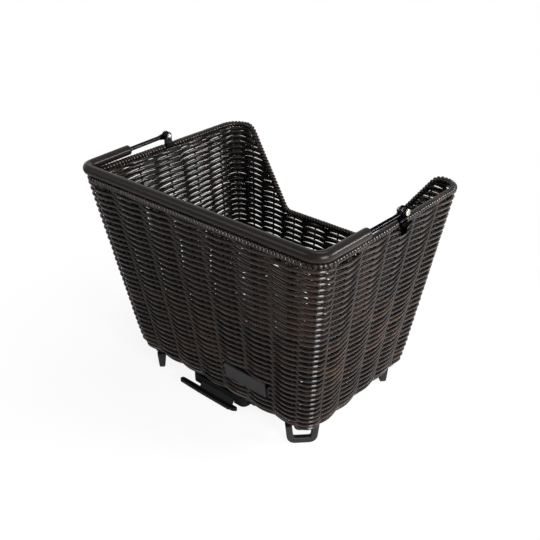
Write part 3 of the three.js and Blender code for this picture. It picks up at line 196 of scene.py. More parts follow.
def tube_rings(points, reference, wide, tall, sides=8, loop=False):
    """Rings of a tube: wide times the cosine along the reference side and tall times the sine across it."""
    first, second = across_line(points, reference, loop)
    angle = 2 * np.pi * np.arange(sides) / sides
    wide = np.broadcast_to(np.asarray(wide, float), (len(points),))[:, None, None]
    tall = np.broadcast_to(np.asarray(tall, float), (len(points),))[:, None, None]
    return (points[:, None] + wide * np.cos(angle)[:, None] * first[:, None]
            + tall * np.sin(angle)[:, None] * second[:, None])


def shell(rings, loop=False):
    """One closed surface from rings of equal count: quads between neighbours, a face at each open end, and a
    UV map of metres along the middle of the rings against the share of the way round. Where the volume of
    the quads comes out negative, all faces are turned over."""
    rows, sides = rings.shape[:2]
    spans = rows if loop else rows - 1
    i, j = np.meshgrid(np.arange(spans), np.arange(sides), indexing="ij")
    k, m = (i + 1) % rows, (j + 1) % sides
    quads = np.stack([i * sides + j, k * sides + j, k * sides + m, i * sides + m], -1).reshape(-1, 4)
    centres = rings.mean(1)
    if loop:
        centres = np.concatenate([centres, centres[:1]])
    travel = np.concatenate([[0], np.cumsum(np.linalg.norm(np.diff(centres, axis=0), axis=1))]) / 1000
    along = np.stack([travel[i], travel[i + 1], travel[i + 1], travel[i]], -1)
    share = np.stack([j, j, j + 1, j + 1], -1) / sides
    uv = np.stack([along, share], -1).reshape(-1, 2)
    caps = []
    if not loop:
        caps = [list(range(sides))[::-1], list(range((rows - 1) * sides, rows * sides))]
        uv = np.concatenate([uv, np.zeros((sides, 2)), np.full((sides, 2), travel[-1])])
    points = rings.reshape(-1, 3)
    a, b, c, d = (points[quads[:, corner]] for corner in range(4))
    middle = points.mean(0)
    volume = (np.cross(b - a, c - a) * (a - middle)).sum() + (np.cross(c - a, d - a) * (a - middle)).sum()
    if volume < 0:
        quads, caps = quads[:, ::-1], [cap[::-1] for cap in caps]
        uv[:len(quads) * 4] = uv[:len(quads) * 4].reshape(-1, 4, 2)[:, ::-1].reshape(-1, 2)
    return points, quads.tolist() + caps, uv


def make_piece(name, shells, material, body, nodes, sharp=40.0):
    """One mesh piece from closed shells in millimetres, smooth but for edges sharper than the given angle."""
    start, points, faces, uvs = 0, [], [], []
    for part_points, part_faces, part_uv in shells:
        points.append(part_points)
        faces += [[v + start for v in face] for face in part_faces] if start else part_faces
        uvs.append(part_uv)
        start += len(part_points)
    mesh = bpy.data.meshes.new(name)
    mesh.from_pydata(np.concatenate(points) / 1000, [], faces)
    mesh.uv_layers.new(name="UVMap").data.foreach_set("uv", np.concatenate(uvs).astype(np.float32).ravel())
    mesh.polygons.foreach_set("use_smooth", np.ones(len(mesh.polygons), bool))
    mesh.set_sharp_from_angle(angle=np.radians(sharp))
    mesh.materials.append(material)
    piece = bpy.data.objects.new(name, mesh)
    bpy.context.scene.collection.objects.link(piece)
    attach(piece, body)
    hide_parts(*nodes)
    return piece


def node_group(name, inputs, outputs):
    """An empty shader group with the named sockets, and its nodes for what goes in and what comes out."""
    group = bpy.data.node_groups.new(name, "ShaderNodeTree")
    for label, kind, value in inputs:
        socket = group.interface.new_socket(label, in_out="INPUT", socket_type=kind)
        if value is not None:
            socket.default_value = value
    for label, kind in outputs:
        group.interface.new_socket(label, in_out="OUTPUT", socket_type=kind)
    return group, group.nodes.new("NodeGroupInput"), group.nodes.new("NodeGroupOutput")


def fine_mottle_group():
    """Soft cloudy mask and fine grain on Object coordinates, for steel and moulded plastic."""
    group, given, put = node_group("fine mottle", [
        ("Vector", "NodeSocketVector", None), ("Cloud Scale", "NodeSocketFloat", 30.0),
        ("Grain Scale", "NodeSocketFloat", 2500.0)],
        [("Cloud", "NodeSocketFloat"), ("Grain", "NodeSocketFloat")])
    for label, detail in (("Cloud", 3.0), ("Grain", 2.0)):
        noise = group.nodes.new("ShaderNodeTexNoise")
        noise.inputs["Detail"].default_value = detail
        group.links.new(given.outputs["Vector"], noise.inputs["Vector"])
        group.links.new(given.outputs[label + " Scale"], noise.inputs["Scale"])
        group.links.new(noise.outputs["Fac"], put.inputs[label])
    return group


FINE_MOTTLE = fine_mottle_group()


def srgb(code):
    """Linear colour of a hex code."""
    value = np.array([int(code[i:i + 2], 16) for i in (0, 2, 4)]) / 255
    return [*np.where(value > 0.04045, ((value + 0.055) / 1.055) ** 2.4, value / 12.92), 1.0]


def mottled_material(name, dark, light, rough, bump, metal=0.0, cloud=30.0, grain=2500.0, level=0.5,
                     tint="ffffff"):
    """Principled surface whose colour runs between two shades and whose roughness spreads with a cloudy mask,
    with a fine grain in its bump. The tint is the colour of its slanting reflections."""
    material = bpy.data.materials.new(name)
    material.use_nodes = True
    nodes, links = material.node_tree.nodes, material.node_tree.links
    shader = nodes["Principled BSDF"]
    shader.inputs["Metallic"].default_value = metal
    shader.inputs["Specular IOR Level"].default_value = level
    shader.inputs["Specular Tint"].default_value = srgb(tint)
    place = nodes.new("ShaderNodeTexCoord")
    mottle = nodes.new("ShaderNodeGroup")
    mottle.node_tree = FINE_MOTTLE
    mottle.inputs["Cloud Scale"].default_value = cloud
    mottle.inputs["Grain Scale"].default_value = grain
    links.new(place.outputs["Object"], mottle.inputs["Vector"])
    colour = nodes.new("ShaderNodeValToRGB")
    colour.color_ramp.elements[0].position, colour.color_ramp.elements[1].position = 0.3, 0.7
    colour.color_ramp.elements[0].color, colour.color_ramp.elements[1].color = srgb(dark), srgb(light)
    links.new(mottle.outputs["Cloud"], colour.inputs["Fac"])
    links.new(colour.outputs["Color"], shader.inputs["Base Color"])
    spread = nodes.new("ShaderNodeMapRange")
    spread.inputs["To Min"].default_value, spread.inputs["To Max"].default_value = rough
    links.new(mottle.outputs["Cloud"], spread.inputs["Value"])
    links.new(spread.outputs["Result"], shader.inputs["Roughness"])
    relief = nodes.new("ShaderNodeBump")
    relief.inputs["Strength"].default_value = 1.0
    relief.inputs["Distance"].default_value = bump / 1000
    links.new(mottle.outputs["Grain"], relief.inputs["Height"])
    links.new(relief.outputs["Normal"], shader.inputs["Normal"])
    return material


coated_wire = mottled_material("black coated wire", "0c0b0c", "181617", (0.34, 0.5), bump=0.03, level=0.2)

BACK_WALL_LOW = outline_sizes(CUT_FLOOR, 0.0)[1]
RIM_X, RIM_Y = RIM_LENGTH / 2, RIM_WIDTH / 2
RIM_CORNERS = [(RIM_X, -RIM_Y, RIM_HEIGHT), (-RIM_X, -RIM_Y, RIM_HEIGHT), (-RIM_X, RIM_Y, RIM_HEIGHT),
               (-CUT_MOUTH_HALF, RIM_Y, RIM_HEIGHT), (-CUT_FLOOR_HALF, BACK_WALL_LOW, CUT_FLOOR),
               (CUT_FLOOR_HALF, BACK_WALL_LOW, CUT_FLOOR), (CUT_MOUTH_HALF, RIM_Y, RIM_HEIGHT),
               (RIM_X, RIM_Y, RIM_HEIGHT)]
RIM_RADII = [CORNER_RADIUS] * 3 + [CUT_FILLET] * 4 + [CORNER_RADIUS]
rim_line = bent_line(RIM_CORNERS, RIM_RADII, step=2.5, loop=True)


def rim_height_over(x):
    """Height of the rim rod's centre line over a place along the back wall, read off its bent line."""
    back = rim_line[(rim_line[:, 1] > BACK_SIDE) & (abs(rim_line[:, 0]) < BACK_REACH)]
    back = back[np.argsort(back[:, 0])]
    return np.interp(x, back[:, 0], back[:, 2])


def stake_line(k):
    """Points of stake k from the base ring out and up the wall to the rim rod. On the back wall its top is
    the place on the rod's line that is reached by taking height and place from each other by turns."""
    rise = np.concatenate([np.linspace(0, TURN_RISE, STAKE_FOOT_POINTS),
                           np.linspace(TURN_RISE + STAKE_WALL_START, TURN_RISE + RIM_HEIGHT - WALL_FOOT,
                                       STAKE_WALL_POINTS)])
    points = wall_point(np.full(len(rise), float(k)), rise, np.zeros(len(rise)))[0]
    if STAKE_WALL[k] == 2 and not np.isnan(STAKE_SHARE[k]):
        keep = points[:, 2] < rim_height_over(points[:, 0]) - STAKE_SHORT
        points = points[keep]
        top = points[-1].copy()
        for _ in range(30):
            height = rim_height_over(top[0])
            x, y = wall_place(np.array([float(k)]), np.array([height]), 0.0)[:2]
            top = np.array([x[0], y[0], height])
        points = np.concatenate([points, top[None]])
    base = points[0] * [1, 1, 0] * STAKE_TUCK + [0, 0, FLOOR_HEIGHT]
    return np.concatenate([base[None], points])


ring_x, ring_y, ring_radius = outline_sizes(FLOOR_HEIGHT, FOOT_TURN)
base_ring = bent_line([(ring_x, ring_y, FLOOR_HEIGHT), (-ring_x, ring_y, FLOOR_HEIGHT),
                       (-ring_x, -ring_y, FLOOR_HEIGHT), (ring_x, -ring_y, FLOOR_HEIGHT)],
                      [ring_radius] * 4, step=3.0, loop=True)
wires = [shell(tube_rings(rim_line, (0, 0, 1), RIM_ROD, RIM_ROD, 10, loop=True), loop=True),
         shell(tube_rings(base_ring, (0, 0, 1), BASE_WIRE, BASE_WIRE, 8, loop=True), loop=True)]
for k in range(STAKES):
    line = stake_line(k)
    facing = wall_place(np.array([float(k)]), np.array([FACING_HEIGHT]), 0.0)[2:]
    beside = np.array([-facing[1][0], facing[0][0], 0.0])
    wires.append(shell(tube_rings(line, beside, STAKE_WIRE, STAKE_WIRE)))
floor_wire_places = (np.arange(FLOOR_WIRES) - (FLOOR_WIRES - 1) / 2) * FLOOR_WIRE_STEP
for x in floor_wire_places:
    y = np.linspace(-ring_y, ring_y, FLOOR_WIRE_POINTS)
    line = np.stack([np.full_like(y, x), y, np.full_like(y, FLOOR_HEIGHT)], -1)
    wires.append(shell(tube_rings(line, (0, 0, 1), STAKE_WIRE, STAKE_WIRE)))
make_piece("wire_frame_welded", wires, coated_wire, "basket", ["wire_frame"])


# The wall's weave: one round strand of plastic cane, near-black with a brown cast, wound from foot to rim.
# The stakes are odd in number, so each turn passes behind those that the turn below passed in front of.
# Inside them it is pressed flat and pushed up. At the cut-out and the badge it turns back by a stake.

STRAND = 2.15
INNER_SPREAD, INNER_FLAT, INNER_RISE = 1.3, 0.5, 2.0
LIFT_START, LIFT_FULL, LIFT_TOP = 12.0, 30.0, 12.0
BULGE, FOOT_BULGE, BULGE_RISES = 3.85, 2.4, (8.0, 40.0)
ROW_STEP, ROW_START, LAST_TURN = 4.18, 2.0, 0.7
ROW_WANDER, BULGE_WANDER = (40, 0.3), (8, 0.07)
BINDING, TOP_LAP, CUT_LAP = 4.6, 0.5, 1.2
CUT_UNDER, CUT_REACH = 20.0, 196.0
BADGE_LOW, BADGE_HIGH, BADGE_MIDDLE, BADGE_GAP = (27.2, 69.8), (98.2, 94.3), 60.0, 0.4
STEPS_PER_STAKE, LEAST_RUN = 8, 3
TURN_ROWS, TURN_POINTS, TURN_OUT = 3, 9, 0.9


def strand_group():
    """Colour masks of the cane, on a UV map of metres along it and share of the way round: streaks a few
    centimetres long, patches that change every 20 or so, and hair-fine lines along it."""
    group, given, put = node_group("cane streaks", [("Vector", "NodeSocketVector", None)], [
        ("Streak", "NodeSocketFloat"), ("Patch", "NodeSocketFloat"), ("Lines", "NodeSocketFloat")])
    for label, scale, detail in (("Streak", (18, 2.2, 1), 3.0), ("Patch", (5, 0.5, 1), 2.0),
                                 ("Lines", (40, 14, 1), 3.0)):
        stretch = group.nodes.new("ShaderNodeMapping")
        stretch.inputs["Scale"].default_value = scale
        noise = group.nodes.new("ShaderNodeTexNoise")
        noise.inputs["Scale"].default_value = 1.0
        noise.inputs["Detail"].default_value = detail
        group.links.new(given.outputs["Vector"], stretch.inputs["Vector"])
        group.links.new(stretch.outputs["Vector"], noise.inputs["Vector"])
        group.links.new(noise.outputs["Fac"], put.inputs[label])
    return group


STRAND_STREAKS = strand_group()


def cane_material(name, shades, rough):
    """Satin cane: the shades mixed by streak and patch, roughness by streak, bump by the fine lines."""
    material = bpy.data.materials.new(name)
    material.use_nodes = True
    nodes, links = material.node_tree.nodes, material.node_tree.links
    shader = nodes["Principled BSDF"]
    shader.inputs["Specular IOR Level"].default_value = 0.2
    place = nodes.new("ShaderNodeUVMap")
    place.uv_map = "UVMap"
    streaks = nodes.new("ShaderNodeGroup")
    streaks.node_tree = STRAND_STREAKS
    links.new(place.outputs["UV"], streaks.inputs["Vector"])
    total = nodes.new("ShaderNodeMath")
    total.operation = "ADD"
    links.new(streaks.outputs["Streak"], total.inputs[0])
    links.new(streaks.outputs["Patch"], total.inputs[1])
    colour = nodes.new("ShaderNodeValToRGB")
    ramp = colour.color_ramp
    ramp.elements[0].position, ramp.elements[1].position = 0.36, 0.66
    ramp.elements[0].color, ramp.elements[1].color = srgb(shades[0]), srgb(shades[2])
    ramp.elements.new(0.5).color = srgb(shades[1])
    half = nodes.new("ShaderNodeMath")
    half.operation = "MULTIPLY"
    half.inputs[1].default_value = 0.5
    links.new(total.outputs["Value"], half.inputs[0])
    links.new(half.outputs["Value"], colour.inputs["Fac"])
    links.new(colour.outputs["Color"], shader.inputs["Base Color"])
    spread = nodes.new("ShaderNodeMapRange")
    spread.inputs["To Min"].default_value, spread.inputs["To Max"].default_value = rough
    links.new(streaks.outputs["Streak"], spread.inputs["Value"])
    links.new(spread.outputs["Result"], shader.inputs["Roughness"])
    relief = nodes.new("ShaderNodeBump")
    relief.inputs["Distance"].default_value = 0.00005
    relief.inputs["Strength"].default_value = 0.8
    links.new(streaks.outputs["Lines"], relief.inputs["Height"])
    links.new(relief.outputs["Normal"], shader.inputs["Normal"])
    return material


cane = cane_material("dark cane", ("070505", "130e0c", "35261d"), (0.13, 0.27))
chance = np.random.default_rng(29)


def slow_wave(count, spacing, size):
    """Smooth uneven wander: random values a spacing apart, joined by a cosine ease."""
    knots = chance.uniform(-size, size, int(count / spacing) + 3)
    t = np.arange(count) / spacing
    k = t.astype(int)
    ease = (1 - np.cos(np.pi * (t - k))) / 2
    return knots[k] * (1 - ease) + knots[k + 1] * ease


def in_badge(points):
    """Whether points on the front wall lie in the badge's window, grown by a gap, and sideways by half a
    strand more."""
    aside = BADGE_GAP + STRAND
    return ((points[:, 1] < FRONT_SIDE)
            & (points[:, 0] > BADGE_LOW[0] - aside) & (points[:, 0] < BADGE_HIGH[0] + aside)
            & (points[:, 2] > BADGE_LOW[1] - BADGE_GAP) & (points[:, 2] < BADGE_HIGH[1] + BADGE_GAP))


def over_cut(points):
    """Whether points on the back wall lie above the rim rod's line, or so near it that the binding hides
    them."""
    line = rim_line[rim_line[:, 1] > BACK_SIDE][:, [0, 2]]
    back = points[:, 1] > BACK_SIDE
    high = points[:, 2] > rim_height_over(points[:, 0])
    near = np.zeros(len(points), bool)
    spots = np.flatnonzero(back & (points[:, 2] > CUT_FLOOR - CUT_UNDER) & (abs(points[:, 0]) < CUT_REACH))
    gap = np.linalg.norm(points[spots][:, None, [0, 2]] - line[None], axis=2).min(1)
    near[spots] = gap < BINDING - CUT_LAP
    return back & (high | near)


top_rise = TURN_RISE + RIM_HEIGHT - WALL_FOOT - BINDING - STRAND + TOP_LAP
rows = (top_rise - ROW_START) / ROW_STEP + LAST_TURN
count = int(rows * STAKES * STEPS_PER_STAKE)
t = np.arange(count) / STEPS_PER_STAKE
rise = np.minimum(ROW_START + ROW_STEP * t / STAKES, top_rise) + slow_wave(count, *ROW_WANDER)
swing = np.cos(np.pi * t)
inside = np.clip(-swing, 0, 1)
bulge = np.interp(rise, BULGE_RISES, [FOOT_BULGE, BULGE])
offset = bulge * swing * (1 + slow_wave(count, *BULGE_WANDER))
lifted = np.interp(rise, [LIFT_START, LIFT_FULL, top_rise - LIFT_TOP, top_rise], [0.0, 1.0, 1.0, 0.0])
rise = rise + INNER_RISE * inside * lifted
wide, tall = STRAND - INNER_FLAT * inside, STRAND + INNER_SPREAD * inside
path, outward = wall_point(t % STAKES, rise, offset)
keep = ~(in_badge(path) | over_cut(path))
edges = np.flatnonzero(np.diff(np.concatenate([[False], keep, [False]]).astype(int)))
runs = [(a, b) for a, b in edges.reshape(-1, 2) if b - a > LEAST_RUN]


def turn_backs(ends):
    """Half loops that join the strand ends of two neighbouring rows: each bows out along the strand by a
    little more than half the rows' distance while it climbs from one row to the next."""
    loops = []
    ends = sorted(ends, key=lambda end: end[0][2])
    for (low, ahead, face), (high, _, _) in zip(ends[::2], ends[1::2]):
        if np.linalg.norm(low - high) > TURN_ROWS * ROW_STEP:
            continue
        swing = np.linspace(-np.pi / 2, np.pi / 2, TURN_POINTS)[:, None]
        middle, reach = (low + high) / 2, np.linalg.norm(high - low) / 2 + TURN_OUT
        loop = middle + (high - low) / 2 * np.sin(swing) + ahead * reach * np.cos(swing)
        loops.append(shell(tube_rings(loop, face, STRAND, STRAND)))
    return loops


stops = {"badge_left": [], "badge_right": [], "cut_left": [], "cut_right": []}
for a, b in runs:
    for end, inner in ((a, a + 2), (b - 1, b - 3)):
        if end in (0, count - 1):
            continue
        ahead = path[end] - path[inner]
        ahead /= np.linalg.norm(ahead)
        if path[end][1] < FRONT_SIDE:
            side = "badge_left" if path[end][0] < BADGE_MIDDLE else "badge_right"
        else:
            side = "cut_left" if path[end][0] < 0 else "cut_right"
        stops[side].append((path[end], ahead, outward[end]))
half_way = count // 2
lower, upper = [], []
for a, b in runs:
    cut = [(a, b)] if b <= half_way or a >= half_way else [(a, half_way + 1), (half_way, b)]
    for c, d in cut:
        rings = tube_rings(path[c:d], outward[c:d], wide[c:d], tall[c:d])
        (lower if d <= half_way + 1 else upper).append(shell(rings))
lower += turn_backs(stops["badge_left"]) + turn_backs(stops["badge_right"])
upper += turn_backs(stops["cut_left"]) + turn_backs(stops["cut_right"])
make_piece("wall_weave_lower", lower, cane, "basket", ["woven_wall"])
make_piece("wall_weave_upper", upper, cane, "basket", ["woven_wall"])


# The floor's weave: the same cane laid to and fro along the basket, over and under the 8 floor wires. Each
# row turns back at its end inside the base ring, and the next passes the wires on their other side.

FLOOR_MARGIN, FLOOR_ROW, FLOOR_END = 17.0, 4.25, 2.5
FLOOR_POINTS, FLOOR_SIDES, FLOOR_WANDER = 96, 7, (16, 0.12)
FLOOR_TURN_POINTS, FLOOR_TURN_OUT = 8, 2.4

floor_x, floor_y, _ = outline_sizes(FLOOR_HEIGHT, FLOOR_MARGIN)
floor_rows = int(2 * floor_y / FLOOR_ROW)
floor_step = 2 * floor_y / floor_rows
x = np.linspace(-floor_x + FLOOR_END, floor_x - FLOOR_END, FLOOR_POINTS)
phase = (x - floor_wire_places[0]) / FLOOR_WIRE_STEP
swing = np.linspace(-np.pi / 2, np.pi / 2, FLOOR_TURN_POINTS)
floor_shells = []
for row in range(floor_rows):
    side, end = (1, -1) if row % 2 else (-1, 0)
    y = -floor_y + (row + 0.5) * floor_step + slow_wave(FLOOR_POINTS, *FLOOR_WANDER)
    z = FLOOR_HEIGHT + side * BULGE * np.cos(np.pi * phase)
    line = np.stack([x, y, z], -1)
    floor_shells.append(shell(tube_rings(line, (0, 0, 1), STRAND, STRAND, FLOOR_SIDES)))
    if row:
        low, high = last[end], line[end]
        loop = ((low + high) / 2 + np.outer(np.sin(swing), (high - low) / 2)
                + np.outer(np.cos(swing), [side * FLOOR_TURN_OUT, 0, 0]))
        floor_shells.append(shell(tube_rings(loop, (0, 0, 1), STRAND, STRAND, FLOOR_SIDES)))
    last = line
make_piece("floor_weave", floor_shells, cane, "basket", ["woven_floor"])


# The rim binding: cane coiled tightly round the rim rod, turn against turn and a little slanted. The two
# pivot brackets break it into a front and a back winding, which end close beside them.

COIL_STEP, COIL_POINTS, COIL_LINE_STEP = 5.15, 12, 1.0
COIL_OUT, COIL_WIDE, COIL_TALL = 4.75, 2.4, 1.6
PHASE_WANDER, OUT_WANDER = (50, 0.35), (9, 0.12)
PIVOT_X, PIVOT_Y, PIVOT_Z = 205.2, 5.5, 320.2
BRACKET_WIDE, BRACKET_GAP = 13.0, 2.6


def winding(line):
    """Cane wound on a line: a point goes round it once for each coil step travelled, a little unevenly, so
    far out that the cane reaches the coil's outside. The cane is a flattened round, wide along the line."""
    travel = np.concatenate([[0], np.cumsum(np.linalg.norm(np.diff(line, axis=0), axis=1))])
    spots = np.linspace(0, travel[-1], int(travel[-1] / COIL_STEP * COIL_POINTS))
    centre = np.stack([np.interp(spots, travel, line[:, k]) for k in range(3)], -1)
    side, lift = across_line(centre, (0, 0, 1))
    phase = 2 * np.pi * spots[:, None] / COIL_STEP + slow_wave(len(spots), *PHASE_WANDER)[:, None]
    radial = side * np.cos(phase) + lift * np.sin(phase)
    out = COIL_OUT - COIL_TALL + slow_wave(len(spots), *OUT_WANDER)[:, None]
    return shell(tube_rings(centre + radial * out, radial, COIL_TALL, COIL_WIDE))


def rim_half(corners, radii, front):
    """Rim rod line of the front or the back winding, between the brackets."""
    near = PIVOT_Y - (BRACKET_WIDE / 2 + BRACKET_GAP) * (1 if front else -1)
    ends = [(x, near, RIM_HEIGHT) for x in (RIM_X, -RIM_X)]
    return bent_line([ends[0], *corners, ends[1]], [0, *radii, 0], COIL_LINE_STEP)


for half, picked in (("front", slice(2)), ("back", slice(None, 1, -1))):
    half_line = rim_half(RIM_CORNERS[picked], RIM_RADII[picked], half == "front")
    make_piece(f"rim_winding_{half}", [winding(half_line)], cane, "basket", [f"rim_binding_{half}"])


# The bail: a bent steel rod, gloss black, flattened at both ends and pierced for the pivots. A long sleeve of
# dark soft plastic covers its front bar and bends. It swings over the basket, and rests on the front rim.

BAIL_BAR, BAIL_BEND, BAIL_STEP = (199.0, -147.0, 317.8), 17.0, 2.0
BAIL_ROD, BAIL_SIDES = 3.0, 14
ARM_END, FLAT_FROM, FLAT_OVER, FLAT_TALL = 6.0, 15.0, 8.0, 4.6
EYE_RADIUS, EYE_THICK, EYE_HOLE = 7.0, 3.0, 2.8
GRIP, GRIP_END, GRIP_SIDES = 7.0, -66.0, 20
GRIP_TIP = np.array([0.0, 0.05, 0.5, 1.1, 1.8])
GRIP_TAPER = np.array([3.25, 5.6, 6.6, 6.9, 7.0])

gloss_black = mottled_material("gloss black steel", "1b1b1d", "222224", (0.12, 0.2), bump=0.01, metal=1.0,
                               cloud=60.0, tint="606062")
soft_grip = mottled_material("soft dark grip", "0f0a09", "160f0d", (0.25, 0.32), bump=0.02, grain=1800.0,
                             level=0.12)


def bail_line(back):
    """Line of the bail from one arm at a distance back, round the front bar, to the other arm."""
    share = (back - BAIL_BAR[1]) / (PIVOT_Y - BAIL_BAR[1])
    end = (BAIL_BAR[0] + (PIVOT_X - BAIL_BAR[0]) * share, back, BAIL_BAR[2] + (PIVOT_Z - BAIL_BAR[2]) * share)
    corners = [end, BAIL_BAR, (-BAIL_BAR[0], *BAIL_BAR[1:]), (-end[0], *end[1:])]
    return bent_line(corners, [0, BAIL_BEND, BAIL_BEND, 0], BAIL_STEP)


def turned(radii, places, middle, axis, hexed=None, sides=36):
    """Shell turned about an axis: a ring at each place along it. A ring may be hexagonal, its radius then the
    distance to a flat divided by the cosine of the angle from that flat's middle."""
    angle = 2 * np.pi * np.arange(sides) / sides
    flat = 1 / np.cos((angle + np.pi / 6) % (np.pi / 3) - np.pi / 6)
    hexed = np.zeros(len(radii)) if hexed is None else np.asarray(hexed, float)
    radius = np.asarray(radii, float)[:, None] * (1 + hexed[:, None] * (flat - 1))
    axis = np.asarray(axis, float)
    first = np.cross(axis, (0, 0, 1) if abs(axis[2]) < 0.5 else (1, 0, 0))
    second = np.cross(axis, first)
    return (np.asarray(middle, float) + np.asarray(places, float)[:, None, None] * axis
            + radius[..., None] * (np.cos(angle)[:, None] * first + np.sin(angle)[:, None] * second))


def eye_ring(sx):
    """Pierced disc of the bail's end: a flat ring with rounded edges turned about the pivot."""
    half, bore, edge, rim = EYE_THICK / 2, EYE_HOLE + 0.4, EYE_RADIUS - 0.7, EYE_RADIUS - 0.2
    radii = [EYE_HOLE, bore, edge, rim, EYE_RADIUS, rim, edge, bore]
    places = [0, half, half, half - 0.25, 0, 0.25 - half, -half, -half]
    return shell(turned(radii, places, (sx * PIVOT_X, PIVOT_Y, PIVOT_Z), (1, 0, 0)), loop=True)


arms = bail_line(PIVOT_Y - ARM_END)
near_eye = np.clip((arms[:, 1] - (PIVOT_Y - FLAT_FROM)) / FLAT_OVER, 0, 1)
flatten = near_eye * near_eye * (3 - 2 * near_eye)
wide = BAIL_ROD + flatten * (EYE_THICK / 2 - BAIL_ROD)
tall = BAIL_ROD + flatten * (FLAT_TALL - BAIL_ROD)
bail_shells = [shell(tube_rings(arms, (0, 0, 1), tall, wide, BAIL_SIDES)), eye_ring(1), eye_ring(-1)]
make_piece("bail_rod_bent", bail_shells, gloss_black, "bail", ["bail_rod"])

grip_line = bail_line(GRIP_END)
tip = GRIP_TIP / np.linalg.norm(grip_line[1] - grip_line[0])
head = grip_line[0] + np.outer(tip, grip_line[1] - grip_line[0])
tail = grip_line[-1] + np.outer(tip[::-1], grip_line[-2] - grip_line[-1])
middle = grip_line[2:-2]
grip_line = np.concatenate([head, middle, tail])
grip_radius = np.concatenate([GRIP_TAPER, np.full(len(middle), GRIP), GRIP_TAPER[::-1]])
grip_rings = tube_rings(grip_line, (0, 0, 1), grip_radius, grip_radius, GRIP_SIDES)
make_piece("grip_sleeve_long", [shell(grip_rings)], soft_grip, "bail", ["grip_sleeve"], sharp=50.0)


# The pivots: on each side a pressed bracket is clamped round the rim rod. Its ear stands up inside the bail's
# eye, with a bright washer between them. A hex bolt goes through eye, washer and ear into a domed nut.

CONTACT = 0.3
WASHER_THICK, EAR_THICK, NUT_THICK = 1.6, 2.5, 2.7
EYE_IN, EYE_OUT = PIVOT_X - EYE_THICK / 2, PIVOT_X + EYE_THICK / 2
WASHER_IN = EYE_IN - CONTACT - WASHER_THICK
NUT_OUT = WASHER_IN - CONTACT - EAR_THICK - CONTACT
NUT_IN = NUT_OUT - NUT_THICK

bright_zinc = mottled_material("bright zinc", "8c877d", "b4aea3", (0.2, 0.38), bump=0.01, metal=1.0,
                               cloud=120.0)


def dress_node(name, material, rounding=0.0):
    """Gives a frame node that is shown as it is its finish. Where a rounding is given, its loose faces are
    joined and its sharp edges rounded, by modifiers on top of its own mesh."""
    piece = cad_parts[name]
    piece.data.materials.clear()
    piece.data.materials.append(material)
    if rounding:
        piece.modifiers.new("joined", "WELD").merge_threshold = 0.00001
        bevel = piece.modifiers.new("rounded", "BEVEL")
        bevel.width, bevel.segments = rounding / 1000, 2
        bevel.limit_method, bevel.angle_limit = "ANGLE", np.radians(38)


def zinc_piece(name, rings, node, loop=False, sharp=30.0):
    """A zinc-plated fastener or spring of the basket, from the rings of its shell."""
    return make_piece(name, [shell(rings, loop)], bright_zinc, "basket", [node], sharp)


def flat_washer(outer, edge, low, middle, axis):
    """Washer on an axis from its lower face up: a flat ring, its outer and inner edges a little bevelled."""
    radii = [2.8, 3.0, outer - edge, outer, outer, outer - edge, 3.0, 2.8]
    top = low + WASHER_THICK
    return turned(radii, [low + 0.2, low, low, low + 0.3, top - 0.3, top, top, top - 0.2], middle, axis)


for side, sx in (("right", 1), ("left", -1)):
    dress_node(f"pivot_bracket_{side}", gloss_black, 0.35)
    middle, axis = (0, PIVOT_Y, PIVOT_Z), (sx, 0, 0)
    head = EYE_OUT + CONTACT + np.array([0.0, 0.0, 0.25, 2.0, 2.4, 2.7, 2.7, 2.4])
    bolt = turned([2.5, 2.5, 3.6, 3.9, 3.9, 3.6, 3.0, 2.5, 2.3], [NUT_IN + 0.4, *head], middle, axis,
                  [0, 0, 0.9, 1, 1, 0.8, 0, 0, 0])
    zinc_piece(f"pivot_bolt_hex_{side}", bolt, f"pivot_bolt_{side}")
    dome = NUT_IN + np.array([0.5, 0.0, -0.5, -1.1, -1.5, -1.7])
    nut = turned([2.8, 2.8, 3.7, 4.0, 4.0, 3.8, 3.6, 3.2, 2.4, 1.2],
                 [NUT_IN + 0.6, NUT_OUT, NUT_OUT, NUT_OUT - 0.3, *dome], middle, axis,
                 [0, 0, 0.9, 1, 1, 0.3, 0, 0, 0, 0])
    zinc_piece(f"pivot_nut_domed_{side}", nut, f"pivot_nut_{side}")
    washer = flat_washer(5.0, 0.3, WASHER_IN, middle, axis)
    zinc_piece(f"pivot_washer_flat_{side}", washer, f"pivot_washer_{side}", loop=True)


# The feet: black nylon mouldings, one across each corner. Each is a loop, wider and thicker at the top. A
# flange behind it lies under the floor, held by a screw that comes down through a washer inside the basket.

FOOT_AT = (136.5, 93.0)
FOOT_TOP_WIDE, FOOT_LOW_WIDE, FOOT_BAR, FOOT_BEND = 45.0, 39.0, 9.0, 7.0
FOOT_TOP_THICK, FOOT_LOW_THICK = 11.0, 7.5
FOOT_LAP, FOOT_STEP = 1.0, 1.6
FLOOR_HALF = 5.8
FLOOR_UNDER, FLOOR_OVER = FLOOR_HEIGHT - FLOOR_HALF, FLOOR_HEIGHT + FLOOR_HALF
FLANGE_HALF, FLANGE_BACK, FLANGE_THICK = (11.2, 18.8), 10.5, 3.0
FOOT_SCREW_IN = 21.0 / np.sqrt(2)
FOOT_WASHER = 7.5

black_nylon = mottled_material("black nylon", "111011", "1d1c1d", (0.36, 0.52), bump=0.05, cloud=22.0,
                               grain=1500.0, level=0.2)


def squared_round(count, power):
    """Points round a squared circle: cosine and sine of the angle, raised to the power with their signs
    kept."""
    angle = np.linspace(0, 2 * np.pi, count + 1)[:-1]
    way = np.stack([np.cos(angle), np.sin(angle)], -1)
    return np.sign(way) * abs(way) ** power


